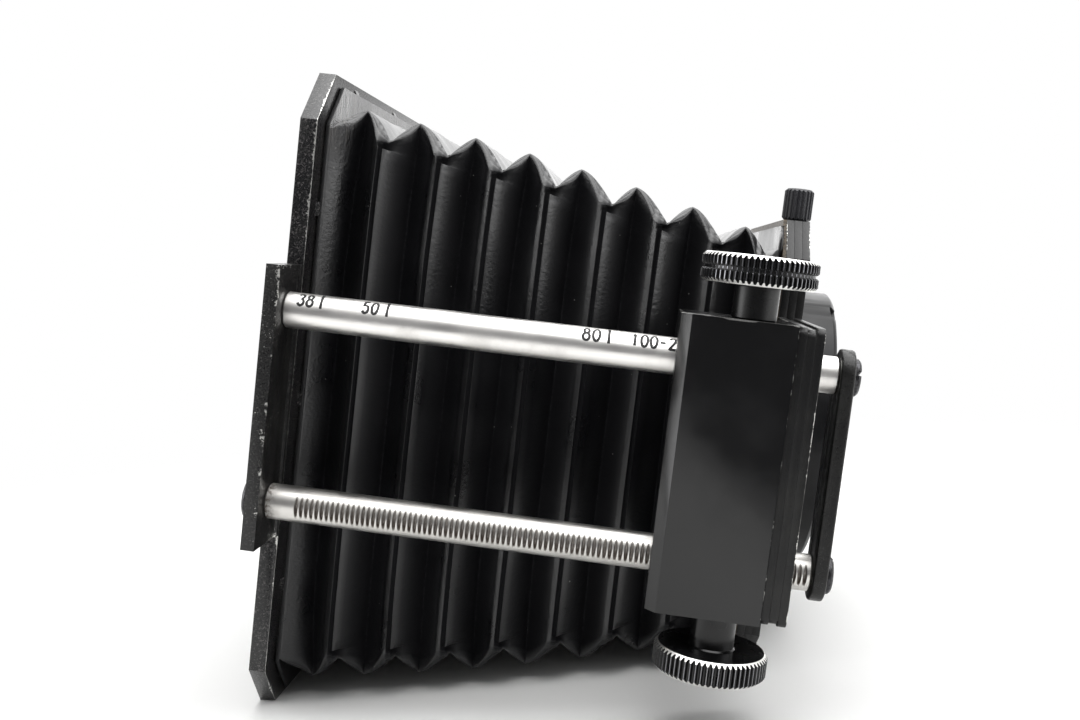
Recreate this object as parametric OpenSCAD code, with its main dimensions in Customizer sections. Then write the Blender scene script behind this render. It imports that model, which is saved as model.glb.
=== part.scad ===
// Folding bellows lens hood: a square front frame rides on two rails through a carriage block
// on the rear plate, and a knurled knob drives it along the lower rail by rack and pinion.
// X runs along the lens axis towards the camera, the rails lie on the -Y side, Z is up.
// The origin is on the lens axis at the rear face of the lens ring.

/* [Front frame] */
// Side of the square front frame
frame_side = 123; // [112:1:150]
// Thickness of the front frame
frame_t = 3.2; // [2.6:0.1:5]
// Chamfer at the frame's corners
frame_chamfer = 9.5; // [6:0.5:14]
// Width of the frame beside its window
frame_bar = 11.5; // [9:0.5:20]
// Corner radius of the window
window_r = 3; // [1:0.5:8]
// Width of the shallow step for masks round the window
mask_step_w = 2.5; // [1:0.5:4]
// Depth of the step for masks
mask_step_d = 1; // [0.5:0.1:1.5]
// Distance from the frame's rear face to the rear plate, as the hood stands
extension = 88.5; // [72:0.5:110]

/* [Bellows] */
// Number of pleats
pleats = 8; // [5:1:12]
// Thickness of the pleated skin, measured across the lens axis
skin_t = 0.8; // [0.5:0.1:1.2]
// Thickness of the glued flanges
flange_t = 0.6; // [0.4:0.1:1]
// Bare border of the frame above and below the flange
border_z = 1.9; // [1:0.1:3]
// Bare border of the frame at the sides of the flange
border_y = 5.1; // [3:0.1:6]
// Distance from the window's edge to the fold line next to the frame
root_margin = 1.4; // [1.4:0.1:3]
// Distance from the frame to the first ridge of the top and bottom
first_ridge = 6; // [5:0.1:10]
// Distance from the last ridge of the top and bottom to the rear plate
last_ridge = 8; // [6:0.1:10]
// Rise from the fold line to the first ridge
first_rise = 4.2; // [2:0.1:5]
// Distance of the last ridge from the rear plate's outline
last_inset = 2.3; // [1.5:0.1:4]
// Outward bow of the ridge line half way along
ridge_bow = 1.25; // [0:0.05:2]
// Depth of a valley below the ridges beside it
pleat_depth = 4.8; // [3:0.1:5.5]
// Place of a side ridge between two top ridges: the sides fold out where top and bottom fold in
side_share = 0.45; // [0.35:0.01:0.6]
// Bare border of the rear plate round the bellows
rear_border = 1.5; // [0.5:0.1:3]
// Width of the glued flange on the rear plate
rear_flange_w = 5; // [4.5:0.5:6]

/* [Rear plate] */
// Bare border of the square rear plate outside the lens ring's flange
plate_border = 6.5; // [4:0.5:14]
// Chamfer at the plate's corners
plate_chamfer = 7.5; // [4:0.5:8]
// Thickness of each of the three layers
layer_t = 1.5; // [1.2:0.1:2]
// Thickness of the brass frame in front of the plate
brass_t = 0.7; // [0.4:0.1:1]
// Width of the brass frame
brass_w = 10; // [8:0.5:12]
// Distance from a rail axis to the ear's end above or below it
ear_end = 8; // [6:0.1:12]
// Distance from the rails to the ear's outer edge
ear_edge = 9; // [7:0.1:11]
// Corner radius of the ear
ear_r = 1.5; // [0.5:0.1:3]
// Distance of a plate screw from the plate's outline, across and upwards
plate_screw_inset = 8; // [7.5:0.5:9]

/* [Lens ring] */
// Bore radius of the lens ring
ring_bore_r = 28; // [24:0.5:34]
// Wall thickness of the lens ring
ring_wall = 2.5; // [2:0.1:4]
// Length of the lens ring behind the plate
ring_len = 10.9; // [8:0.1:14]
// Width of the ring's flange inside the plate
ring_flange_w = 7.5; // [5:0.5:9]

/* [Rails] */
// Distance from the front frame's near edge to the rails
rail_gap = 6; // [5:0.1:12]
// Distance between the rail axes
rail_pitch = 35; // [28:1:44]
// Rail diameter
rail_d = 6.5; // [5.5:0.1:7.8]
// Length of rail between the rear plate and the end strap
rail_spare = 4.05; // [3:0.05:10]
// Module of the rack and the pinion
tooth_module = 0.3; // [0.25:0.01:0.32]
// Distance from the bracket to the rack's first gap
rack_start = 5.9; // [4:0.1:12]
// Head radius of the upper front screw
upper_head_r = 2.85; // [2.2:0.05:4]
// Head height of the upper front screw
upper_head_h = 0.75; // [0.5:0.05:1.5]
// Head radius of the lower front screw
lower_head_r = 4; // [2.5:0.1:4.5]
// Head height of the lower front screw
lower_head_h = 1.6; // [0.8:0.1:2.5]
// Head radius of the strap's screws
strap_head_r = 3.3; // [2.5:0.1:4.3]
// Head height of the strap's screws
strap_head_h = 1.2; // [0.6:0.1:2]
// Thickness of the end strap
strap_t = 2.5; // [1.5:0.1:4]
// Width of the end strap
strap_w = 9.4; // [8:0.1:12]

/* [Rail bracket] */
// Thickness of the bracket
bracket_t = 2.5; // [2:0.1:2.8]
// Distance from the rails to the bracket's outer edge
bracket_edge = 6.5; // [5.5:0.1:8]
// Distance from a rail axis to the bracket's end above or below it
bracket_end = 8; // [5:0.1:12]
// Thickness of the foot on the frame's edge
foot_t = 1.2; // [0.8:0.1:2]

/* [Carriage block] */
// Length of the block along the rails
block_len = 19.5; // [17:0.1:24]
// Distance from a rail axis to the block's end above or below it
block_end = 8.1; // [8:0.1:12]
// Distance from the rails to the block's near face
block_near = 9.5; // [8.5:0.1:12]
// Wall of the block behind the rail bushes
block_wall = 0.8; // [0.5:0.1:3]
// Bevel on the block's front near edge
block_bevel = 1.8; // [0.5:0.1:3]
// Length of a rail bush
bush_len = 4.5; // [3:0.1:4.6]
// Wall thickness of a rail bush
bush_wall = 0.9; // [0.6:0.1:1]

/* [Pinion and knobs] */
// Teeth on the pinion
pinion_teeth = 12; // [11:1:12]
// Distance from the rear plate to the pinion axis
pinion_back = 7.2; // [6.8:0.1:9]
// Radius of the pinion shaft
shaft_r = 1.25; // [1:0.05:1.35]
// Radius of both knobs
knob_r = 9.85; // [8:0.05:12]
// Flutes round a knob
knob_flutes = 60; // [40:4:80]
// Depth of a flute
flute_d = 0.55; // [0.3:0.05:0.7]
// Height of the upper knob
upper_knob_h = 5; // [4:0.1:7]
// Height of the lower knob
lower_knob_h = 4.4; // [3:0.1:6]
// Bevel at a knob's rims
knob_bevel = 0.95; // [0.5:0.05:1.2]
// Radius of a knob's hub
hub_r = 3.85; // [3:0.05:6]
// Length of a hub
hub_len = 5.7; // [4.5:0.1:9]
// Radius of a set screw
set_screw_r = 0.9; // [0.6:0.05:1.2]

/* [Thumb screw] */
// Distance of the thumb screw from the side of the lens ring
thumb_gap = 2; // [1.5:0.1:4]
// Radius of its knurled head
thumb_r = 2.9; // [2.3:0.1:4]
// Height of its head
thumb_h = 6.4; // [4:0.1:9]
// Radius of its stem
stem_r = 1.25; // [0.9:0.05:1.5]

/* [Clearances] */
// Clearance round pieces that are fixed in their holes
fit_gap = 0.02; // [0:0.01:0.05]
// Clearance round pieces that turn or slide
run_gap = 0.05; // [0.03:0.01:0.1]
// Clearance between the bellows and the front frame
soft_gap = 0.3; // [0.2:0.05:0.5]

/* [Hidden] */
$fn = 96;
// Overlength of a cutting solid past the face that it cuts
over = 1;

// Front frame's window
window_half = frame_side / 2 - frame_bar;

// Lens ring, and the half side of the rear plate that holds it
ring_r = ring_bore_r + ring_wall;
ring_flange_r = ring_r + ring_flange_w;
ring_flange_t = layer_t - 2 * run_gap;
ring_hole_r = ring_r + run_gap;
light_r = ring_bore_r + 1;
ring_rim = 0.8;
notch_w = 4;
notch_d = 1.2;
notch_turn = 28;
plate_half = ring_flange_r + plate_border;

// Planes across the lens axis, from the lens ring forwards
plate_rear_x = -ring_len;
plate_front_x = plate_rear_x - 3 * layer_t;
brass_front_x = plate_front_x - brass_t;
frame_rear_x = plate_front_x - extension;
frame_front_x = frame_rear_x - frame_t;
bracket_inset = 0.5;
bracket_rear_x = frame_rear_x - bracket_inset;
bracket_front_x = bracket_rear_x - bracket_t;
strap_front_x = plate_rear_x + rail_spare;
strap_rear_x = strap_front_x + strap_t;
block_front_x = plate_front_x - block_len;

// Rails
rail_r = rail_d / 2;
rail_y = frame_side / 2 + rail_gap;
rail_z = rail_pitch / 2;
ear_half = rail_z + ear_end;
bracket_half = rail_z + bracket_end;
block_half = rail_z + block_end;
rail_len = strap_front_x - bracket_rear_x;
rail_chamfer = 0.3;
ear_hole_gap = 0.5;
rail_clear_r = rail_r + ear_hole_gap;
bush_r = rail_r + run_gap + bush_wall;
bush_inset = 1.5;
block_far = bush_r + block_wall;

// Rack: gaps cut into the rail's near side
rack_pitch = PI * tooth_module;
rack_tip = rail_r;
rack_line = rail_r - tooth_module;
rack_root = rack_line - 1.25 * tooth_module;
tooth_angle = 20;
tooth_slack = 0.05;
tooth_w = rack_pitch / 2 - tooth_slack;
rack_count = floor((rail_len - rack_start) / rack_pitch);
rack_x0 = bracket_rear_x + rack_start;

// Pinion: rolls on the rack's pitch line
pinion_r = pinion_teeth * tooth_module / 2;
pinion_tip_r = pinion_r + tooth_module;
pinion_root_r = pinion_r - 1.25 * tooth_module;
pinion_len = 5;
pinion_x = plate_front_x - pinion_back;
pinion_y = -rail_y - rack_line - pinion_r;
pinion_tip_w = 0.45 * tooth_w;
pinion_bush_wall = 1.3;
pinion_bush_r = shaft_r + run_gap + pinion_bush_wall;
pinion_bush_len = 3.8;
pinion_end_gap = 1;
pinion_well = rail_z - pinion_len / 2 - pinion_end_gap;
shaft_inset = 1;
mesh_gap = round((pinion_x - rack_x0) / rack_pitch);
mesh_shift = rack_x0 + mesh_gap * rack_pitch - pinion_x;
mesh_turn = -mesh_shift / pinion_r * 180 / PI;

// Knobs: the groove between two rows, the dished end face and the sunk set screw
knob_groove_w = 0.5;
knob_rim_w = 2.2;
knob_dish = 0.4;
set_screw_sunk = 0.4;

// Half widths of a knurled edge's crest and root, as shares of its step
crest_share = 0.22;
root_share = 0.14;

// Brake under the rack rail
brake_shift = 0.75;
brake_x = (block_front_x + bush_inset + plate_front_x) / 2 - brake_shift;
brake_r = 1.5;
brake_plug_t = 1.4;
brake_spring_t = 0.25;
brake_spring_h = 0.6;
brake_pad_low = -block_half + brake_plug_t + 2 * brake_spring_h;
brake_wrap = 0.7;
brake_pad_high = -rail_z - rail_r + brake_wrap;

// Screws
frame_screw_r = 0.8;
frame_screw_head_r = 1.4;
frame_screw_z = 10;
frame_screw_len = 16;
ear_screw_r = 1.25;
ear_screw_head_r = 2.4;
ear_screw_z = 8;
ear_screw_y = rail_y + 1.5;
ear_screw_bite = 6;
plate_screw_r = 0.8;
plate_screw_head_r = 1.6;
plate_screw_at = plate_half - plate_screw_inset;
rail_screw_r = 1.5;
rail_screw_bite = 7;
slot_w = 0.8;
fine_slot_w = 0.4;

// Tabs that hold the bellows flange on the frame
tab_len = 3;
tab_w = 1;
tab_t = 0.9;
tab_step = 36;

// Thumb screw, on the middle plane of the plate
thumb_x = plate_rear_x - 1.5 * layer_t;
thumb_y = ring_r + thumb_gap;
thumb_lift = 0.1;
thumb_flutes = 20;
flange_run = thumb_y - stem_r;
stem_tip_z = sqrt(pow(ring_flange_r, 2) - pow(flange_run, 2)) + run_gap;

// Bellows: half sizes, corner cuts and pleat places
flange_half_z = frame_side / 2 - border_z;
flange_half_y = frame_side / 2 - border_y;
root_half = window_half + root_margin;
ridge_half_front = root_half + first_rise;
ridge_half_rear = plate_half - last_inset;
rear_half = plate_half - rear_border;
fold_cut = 2.2;
root_cut = 4;
flange_cut = 8;
ridge_span = extension - first_ridge - last_ridge;
ridge_step = ridge_span / (pleats - 1);
side_root = flange_half_y - 0.6;
end_root = rear_half - 1;
end_fold_root = rear_half - rear_flange_w + 1;

// Cylinder along X from x0 to x1, about the line y, z
module x_rod(r, x0, x1, y = 0, z = 0) {
  translate([x0, y, z])
    rotate([0, 90, 0])
      cylinder(r = r, h = x1 - x0);
}

// Cylinder along Z from z0 to z1, about the line x, y
module z_rod(r, z0, z1, x = 0, y = 0) {
  translate([x, y, z0])
    cylinder(r = r, h = z1 - z0);
}

// Square of half size h with chamfered corners
module chamfered_square(h, c) {
  polygon([[h, c - h], [h, h - c], [h - c, h], [c - h, h],
           [-h, h - c], [-h, c - h], [c - h, -h], [h - c, -h]]);
}

// Flat outline in the Y-Z plane, given thickness from x0 to x1
module x_sheet(x0, x1) {
  translate([x0, 0, 0])
    rotate([90, 0, 90])
      linear_extrude(x1 - x0)
        children();
}

// Square with rounded corners, half size h
module rounded_square(h, r) {
  square([2 * h, 2 * (h - r)], center = true);
  square([2 * (h - r), 2 * h], center = true);
  for (a = [0 : 90 : 270])
    rotate(a)
      translate([h - r, h - r])
        circle(r);
}

// Slotted pan-head screw along -Z, with the underside of its head at z = 0
module pan_screw(head_r, head_h, shank_r, shank_len, slot_turn = 0) {
  edge = head_h * 0.35;
  difference() {
    rotate_extrude()
      polygon([[0, -shank_len], [shank_r, -shank_len], [shank_r, 0], [head_r, 0],
               [head_r, head_h - edge], [head_r - edge, head_h], [0, head_h]]);
    rotate(slot_turn)
      translate([-head_r - over, -slot_w / 2, head_h * 0.45])
        cube([2 * (head_r + over), slot_w, head_h]);
  }
}

// Slotted countersunk screw along -Z, with the top of its head at z = 0
module sunk_screw(head_r, shank_r, len, slot_turn = 0) {
  rise = head_r - shank_r;
  difference() {
    rotate_extrude()
      polygon([[0, -len], [shank_r, -len], [shank_r, -rise], [head_r, 0], [0, 0]]);
    rotate(slot_turn)
      translate([-head_r - over, -fine_slot_w / 2, -rise * 0.6])
        cube([2 * (head_r + over), fine_slot_w, head_r]);
  }
}

// Hole for such a screw
module sunk_hole(head_r, shank_r, len) {
  rise = head_r - shank_r;
  rotate_extrude()
    polygon([[0, -len], [shank_r + fit_gap, -len], [shank_r + fit_gap, -rise],
             [head_r + fit_gap, 0], [head_r + fit_gap, over], [0, over]]);
}

module front_frame() {
  color("#1b1b1c")
    difference() {
      x_sheet(frame_front_x, frame_rear_x)
        difference() {
          chamfered_square(frame_side / 2, frame_chamfer);
          rounded_square(window_half, window_r);
        }
      x_sheet(frame_front_x - over, frame_front_x + mask_step_d)
        rounded_square(window_half + mask_step_w, window_r);
      frame_screws_at()
        sunk_hole(frame_screw_head_r, frame_screw_r, frame_screw_len);
    }
}

// The places of the two screws from the window into the rail bracket
module frame_screws_at() {
  for (side = [-1, 1])
    translate([bracket_rear_x - bracket_t / 2, -window_half, side * frame_screw_z])
      rotate([-90, 0, 0])
        children();
}

module flange_tabs() {
  color("#232323")
    for (turn = [0 : 90 : 270])
      rotate([turn, 0, 0])
        for (place = [-1 : 1])
          let (edge = turn % 180 == 0 ? flange_half_z : flange_half_y)
            translate([frame_rear_x, place * tab_step - tab_len / 2, edge + run_gap])
              cube([tab_t, tab_len, tab_w]);
}

module rail_bracket() {
  near = -rail_y - bracket_edge;
  far = -frame_side / 2;
  color("#202021")
    difference() {
      union() {
        translate([bracket_front_x, near, -bracket_half])
          cube([bracket_t, far - near, 2 * bracket_half]);
        translate([frame_front_x, far - foot_t, -bracket_half])
          cube([frame_t, foot_t, 2 * bracket_half]);
      }
      for (side = [-1, 1])
        x_rod(rail_screw_r + fit_gap, bracket_front_x - over, bracket_rear_x + over, -rail_y, side * rail_z);
      frame_screws_at()
        sunk_hole(frame_screw_head_r, frame_screw_r, frame_screw_len + fit_gap);
    }
}

module bracket_screws() {
  color("#3a3a3c")
    frame_screws_at()
      sunk_screw(frame_screw_head_r, frame_screw_r, frame_screw_len);
}

// Round bar with bevelled ends and a blind screw hole at each end
module rail_bar() {
  difference() {
    translate([bracket_rear_x, 0, 0])
      rotate([0, 90, 0])
        rotate_extrude()
          polygon([[0, 0], [rail_r - rail_chamfer, 0], [rail_r, rail_chamfer],
                   [rail_r, rail_len - rail_chamfer], [rail_r - rail_chamfer, rail_len], [0, rail_len]]);
    x_rod(rail_screw_r + fit_gap, bracket_rear_x - over, bracket_rear_x + rail_screw_bite + run_gap);
    x_rod(rail_screw_r + fit_gap, strap_front_x - rail_screw_bite - run_gap, strap_front_x + over);
  }
}

module scale_rail() {
  color("#c9c9c8")
    translate([0, -rail_y, rail_z])
      rail_bar();
}

// Half width of a rack gap at distance y from the rail axis
function gap_half(y) = (rack_pitch - tooth_w) / 2 + (y - rack_line) * tan(tooth_angle);

// Outline of all the gaps, joined outside the rail
function gap_outline() = [
  for (i = [0 : rack_count - 1])
    for (corner = [[-1, rack_tip + run_gap], [-1, rack_root], [1, rack_root], [1, rack_tip + run_gap]])
      [rack_x0 + i * rack_pitch + corner[0] * gap_half(corner[1]), -corner[1]]];

module rack_rail() {
  last_x = rack_x0 + (rack_count - 1) * rack_pitch + gap_half(rack_tip);
  first_x = rack_x0 - gap_half(rack_tip);
  outside = [[last_x, -rail_r - over], [first_x, -rail_r - over]];
  color("#c4c3c1")
    translate([0, -rail_y, -rail_z])
      difference() {
        rail_bar();
        translate([0, 0, -rail_r - over])
          linear_extrude(2 * (rail_r + over))
            polygon(concat(gap_outline(), outside));
      }
}

module front_screw_upper() {
  color("#4a4a4c")
    translate([bracket_front_x, -rail_y, rail_z])
      rotate([0, -90, 0])
        pan_screw(upper_head_r, upper_head_h, rail_screw_r, bracket_t + rail_screw_bite, 70);
}

module front_screw_lower() {
  color("#4a4a4c")
    translate([bracket_front_x, -rail_y, -rail_z])
      rotate([0, -90, 0])
        pan_screw(lower_head_r, lower_head_h, rail_screw_r, bracket_t + rail_screw_bite, 25);
}

module end_strap() {
  color("#1d1d1e")
    difference() {
      x_sheet(strap_front_x, strap_rear_x)
        union() {
          translate([-rail_y - strap_w / 2, -rail_z])
            square([strap_w, rail_pitch]);
          for (side = [-1, 1])
            translate([-rail_y, side * rail_z])
              circle(strap_w / 2);
        }
      for (side = [-1, 1])
        x_rod(rail_screw_r + fit_gap, strap_front_x - over, strap_rear_x + over, -rail_y, side * rail_z);
    }
}

module strap_screws() {
  color("#3f3f41")
    for (side = [-1, 1])
      translate([strap_rear_x, -rail_y, side * rail_z])
        rotate([0, 90, 0])
          pan_screw(strap_head_r, strap_head_h, rail_screw_r, strap_t + rail_screw_bite, 40 + 30 * side);
}

// Pleats: half size over the ridges at a place x
function ridge_half(x) =
  let (u = (x - frame_rear_x - first_ridge) / ridge_span)
  ridge_half_front + (ridge_half_rear - ridge_half_front) * u + 4 * ridge_bow * u * (1 - u);

// Fold k of the outer skin as [x, half width, half height, corner cut]. Where the top and bottom
// fold out (k even) the sides fold in, and the other way round.
function fold_x(k) =
  frame_rear_x + first_ridge + ridge_step * (floor(k / 2) + (k % 2) * side_share);
function fold(k) =
  let (x = fold_x(k), out = ridge_half(x),
       in = k == 2 * pleats - 1 ? end_fold_root : out - pleat_depth)
  k % 2 == 0 ? [x, in, out, fold_cut] : [x, out, in, fold_cut];
function folds() = [for (k = [0 : 2 * pleats - 1]) fold(k)];

// A section moved inwards by the skin's thickness
function inside(s) = [s[0], s[1] - skin_t, s[2] - skin_t, s[3] - skin_t / 2];

// The skin's cross section, once round, as [x, half width, half height, corner cut]
function skin_section() =
  let (front = frame_rear_x + soft_gap, front_skin = front + flange_t,
       rear = brass_front_x, rear_skin = rear - flange_t,
       front_root = [front_skin, side_root, root_half, root_cut],
       rear_root = [rear_skin, end_root, end_fold_root, root_cut],
       rear_open = rear_half - rear_flange_w)
  concat(
    [[front, flange_half_y, flange_half_z, flange_cut],
     [front_skin, flange_half_y, flange_half_z, flange_cut],
     front_root],
    folds(),
    [rear_root,
     [rear_skin, rear_half, rear_half, root_cut],
     [rear, rear_half, rear_half, root_cut],
     [rear, rear_open, rear_open, root_cut],
     [rear_skin, rear_open, rear_open, root_cut],
     inside(rear_root)],
    [for (k = [2 * pleats - 1 : -1 : 0]) inside(fold(k))],
    [inside(front_root),
     [front_skin, window_half, window_half, root_cut],
     [front, window_half, window_half, root_cut]]);

// Eight corners of one section
function corners(s) =
  let (x = s[0], y = s[1], z = s[2], c = s[3])
  [[x, y, c - z], [x, y, z - c], [x, y - c, z], [x, c - y, z],
   [x, -y, z - c], [x, -y, c - z], [x, c - y, -z], [x, y - c, -z]];

module bellows() {
  section = skin_section();
  rounds = len(section);
  points = [for (s = section) each corners(s)];
  faces = [
    for (i = [0 : rounds - 1])
      for (j = [0 : 7])
        let (here = i * 8, next = (i + 1) % rounds * 8, k = (j + 1) % 8)
          each [[here + j, next + k, here + k], [here + j, next + j, next + k]]];
  color("#17171a")
    polyhedron(points = points, faces = faces);
}

module bellows_brass_frame() {
  color("#a98d4f")
    difference() {
      x_sheet(brass_front_x, plate_front_x)
        difference() {
          chamfered_square(plate_half - run_gap, plate_chamfer);
          chamfered_square(plate_half - brass_w, plate_chamfer / 2);
        }
      for (y = [-1, 1])
        for (z = [-1, 1])
          x_rod(plate_screw_r + fit_gap, brass_front_x - over, plate_front_x + over,
                y * plate_screw_at, z * plate_screw_at);
    }
}

// One layer of the rear plate with its ear: half size h, ear half height e
module plate_outline(e) {
  near = -rail_y - ear_edge;
  chamfered_square(plate_half, plate_chamfer);
  translate([near, -e + ear_r])
    square([-near - plate_half + ear_r, 2 * (e - ear_r)]);
  translate([near + ear_r, -e])
    square([-near - plate_half, 2 * e]);
  for (side = [-1, 1])
    translate([near + ear_r, side * (e - ear_r)])
      circle(ear_r);
}

// Holes that all the layers share
module plate_holes() {
  plate_screws_at()
    sunk_hole(plate_screw_head_r, plate_screw_r, 3 * layer_t + brass_t + over);
  carriage_screws_at()
    sunk_hole(ear_screw_head_r, ear_screw_r, 3 * layer_t + over);
  for (side = [-1, 1])
    x_rod(rail_clear_r, plate_front_x - over, plate_rear_x + over, -rail_y, side * rail_z);
  z_rod(stem_r + run_gap, stem_tip_z - over, plate_half + over, thumb_x, -thumb_y);
}

module plate_screws_at() {
  for (y = [-1, 1])
    for (z = [-1, 1])
      translate([plate_rear_x, y * plate_screw_at, z * plate_screw_at])
        rotate([0, 90, 0])
          children();
}

module carriage_screws_at() {
  for (side = [-1, 1])
    translate([plate_rear_x, -ear_screw_y, side * ear_screw_z])
      rotate([0, 90, 0])
        children();
}

// One layer, counted from the front, with a round hole of radius r
module plate_layer(index, r, e) {
  x0 = plate_front_x + index * layer_t;
  difference() {
    x_sheet(x0, x0 + layer_t)
      plate_outline(e);
    x_rod(r, x0 - over, x0 + layer_t + over);
    plate_holes();
  }
}

module plate_front() {
  color("#1c1c1d")
    plate_layer(0, light_r, ear_half);
}

module plate_core() {
  color("#242324")
    plate_layer(1, ring_flange_r + run_gap, ear_half - 0.3);
}

module plate_back() {
  color("#1c1c1d")
    plate_layer(2, ring_hole_r, ear_half + 0.1);
}

module plate_screws() {
  color("#555555")
    plate_screws_at()
      sunk_screw(plate_screw_head_r, plate_screw_r, 3 * layer_t + brass_t, 30);
}

module lens_ring() {
  flange_x = plate_rear_x - 2 * layer_t + run_gap;
  color("#18181a")
    difference() {
      translate([flange_x, 0, 0])
        rotate([0, 90, 0])
          rotate_extrude()
            polygon([[ring_bore_r, 0], [ring_flange_r, 0], [ring_flange_r, ring_flange_t],
                     [ring_r, ring_flange_t], [ring_r, -flange_x - ring_rim],
                     [ring_r - ring_rim, -flange_x], [ring_bore_r, -flange_x]]);
      rotate([notch_turn, 0, 0])
        translate([-notch_d, -notch_w / 2, ring_r - notch_d])
          cube([notch_d + over, notch_w, notch_d + over]);
    }
}

module carriage_block() {
  near = -rail_y - block_near;
  far = -rail_y + block_far;
  color("#1a1a1c")
    difference() {
      translate([0, 0, -block_half])
        linear_extrude(2 * block_half)
          polygon([[block_front_x + block_bevel, near], [plate_front_x, near], [plate_front_x, far],
                   [block_front_x, far], [block_front_x, near + block_bevel]]);
      for (side = [-1, 1]) {
        x_rod(rail_r + 2 * run_gap, block_front_x - over, plate_front_x, -rail_y, side * rail_z);
        x_rod(bush_r + fit_gap, block_front_x + bush_inset, plate_front_x + over, -rail_y, side * rail_z);
        translate([plate_front_x, -ear_screw_y, side * ear_screw_z])
          rotate([0, 90, 0])
            z_rod(ear_screw_r + fit_gap, -ear_screw_bite - run_gap, over);
      }
      z_rod(shaft_r + 3 * run_gap, -block_half - over, block_half + over, pinion_x, pinion_y);
      z_rod(pinion_bush_r + fit_gap, -block_half - over, -pinion_well, pinion_x, pinion_y);
      z_rod(pinion_bush_r + fit_gap, block_half - pinion_bush_len, block_half + over, pinion_x, pinion_y);
      z_rod(brake_r + fit_gap, -block_half - over, -rail_z, brake_x, -rail_y);
    }
}

module carriage_screws() {
  color("#4a4a4a")
    carriage_screws_at()
      sunk_screw(ear_screw_head_r, ear_screw_r, 3 * layer_t + ear_screw_bite, 55);
}

module rail_bushes() {
  color("#2b2a26")
    for (side = [-1, 1])
      for (x = [block_front_x + bush_inset, plate_front_x - bush_len])
        difference() {
          x_rod(bush_r, x, x + bush_len, -rail_y, side * rail_z);
          x_rod(rail_r + run_gap, x - over, x + bush_len + over, -rail_y, side * rail_z);
        }
}

module pinion_bushes() {
  color("#9c8148")
    for (z = [-block_half, block_half - pinion_bush_len])
      difference() {
        z_rod(pinion_bush_r, z, z + pinion_bush_len, pinion_x, pinion_y);
        z_rod(shaft_r + run_gap, z - over, z + pinion_bush_len + over, pinion_x, pinion_y);
      }
}

module brake_pad() {
  color("#d8d4c8")
    difference() {
      z_rod(brake_r, brake_pad_low, brake_pad_high, brake_x, -rail_y);
      x_rod(rail_r + run_gap, brake_x - brake_r - over, brake_x + brake_r + over, -rail_y, -rail_z);
    }
}

module brake_springs() {
  z0 = -block_half + brake_plug_t;
  inner = brake_r * 0.4;
  outer = brake_r - run_gap;
  color("#8f8f92")
    translate([brake_x, -rail_y, z0]) {
      rotate_extrude()
        polygon([[inner, brake_spring_h - brake_spring_t], [outer, 0],
                 [outer, brake_spring_t], [inner, brake_spring_h]]);
      rotate_extrude()
        polygon([[inner, brake_spring_h], [outer, 2 * brake_spring_h - brake_spring_t],
                 [outer, 2 * brake_spring_h], [inner, brake_spring_h + brake_spring_t]]);
    }
}

module brake_plug() {
  color("#6a6a6c")
    difference() {
      z_rod(brake_r, -block_half, -block_half + brake_plug_t, brake_x, -rail_y);
      translate([brake_x - brake_r - over, -rail_y - slot_w / 2, -block_half - over])
        cube([2 * (brake_r + over), slot_w, over + brake_plug_t / 2]);
    }
}

// Pinion outline, with one tooth on +Y before it is turned into mesh
function pinion_outline() = [
  for (i = [0 : pinion_teeth - 1])
    for (corner = [[pinion_root_r, -tooth_w], [pinion_r, -tooth_w], [pinion_tip_r, -pinion_tip_w],
                   [pinion_tip_r, pinion_tip_w], [pinion_r, tooth_w], [pinion_root_r, tooth_w]])
      let (a = 90 + i * 360 / pinion_teeth + corner[1] / corner[0] * 90 / PI)
        corner[0] * [cos(a), sin(a)]];

module pinion_shaft() {
  low = -block_half - run_gap - hub_len - lower_knob_h + shaft_inset;
  high = block_half + run_gap + hub_len + upper_knob_h - shaft_inset;
  color("#b7b7b5")
    union() {
      z_rod(shaft_r, low, high, pinion_x, pinion_y);
      translate([pinion_x, pinion_y, -rail_z - pinion_len / 2])
        rotate(mesh_turn)
          linear_extrude(pinion_len)
            polygon(pinion_outline());
    }
}

// Outline of a knurled edge with trapezoid flutes
function knurl(r, depth, flutes) = [
  for (i = [0 : flutes - 1])
    for (corner = [[-crest_share, r], [crest_share, r],
                   [0.5 - root_share, r - depth], [0.5 + root_share, r - depth]])
      let (a = (i + corner[0]) * 360 / flutes)
        corner[1] * [cos(a), sin(a)]];

// Bevelled knurled disc from z = 0 to h
module knurled_disc(r, h, bevel, depth, flutes) {
  intersection() {
    linear_extrude(h)
      polygon(knurl(r, depth, flutes));
    rotate_extrude()
      polygon([[0, 0], [r - bevel, 0], [r + over, bevel + over],
               [r + over, h - bevel - over], [r - bevel, h], [0, h]]);
  }
}

// Knob with its hub from z = 0 to hub_len and its disc above, bored for the shaft
module knob(h, rows) {
  difference() {
    union() {
      cylinder(r = hub_r, h = hub_len + over);
      translate([0, 0, hub_len])
        difference() {
          knurled_disc(knob_r, h, knob_bevel, flute_d, knob_flutes);
          if (rows > 1)
            difference() {
              translate([0, 0, (h - knob_groove_w) / 2])
                cylinder(r = knob_r + over, h = knob_groove_w);
              cylinder(r = knob_r - flute_d, h = h);
            }
          translate([0, 0, h - knob_dish])
            cylinder(r = knob_r - knob_rim_w, h = over);
        }
    }
    translate([0, 0, -over])
      cylinder(r = shaft_r + fit_gap, h = hub_len + h);
    set_screw_at()
      cylinder(r = set_screw_r + fit_gap, h = hub_r + over);
  }
}

// The place of a knob's set screw, pointing outwards from the shaft
module set_screw_at() {
  translate([0, 0, hub_len * 0.45])
    rotate([90, 0, 0])
      children();
}

// Puts a knob on the shaft above or below the block
module on_shaft(side) {
  translate([pinion_x, pinion_y, side * (block_half + run_gap)])
    mirror([0, 0, side < 0 ? 1 : 0])
      children();
}

module upper_knob() {
  color("#1f1f20")
    on_shaft(1)
      knob(upper_knob_h, 2);
}

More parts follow.
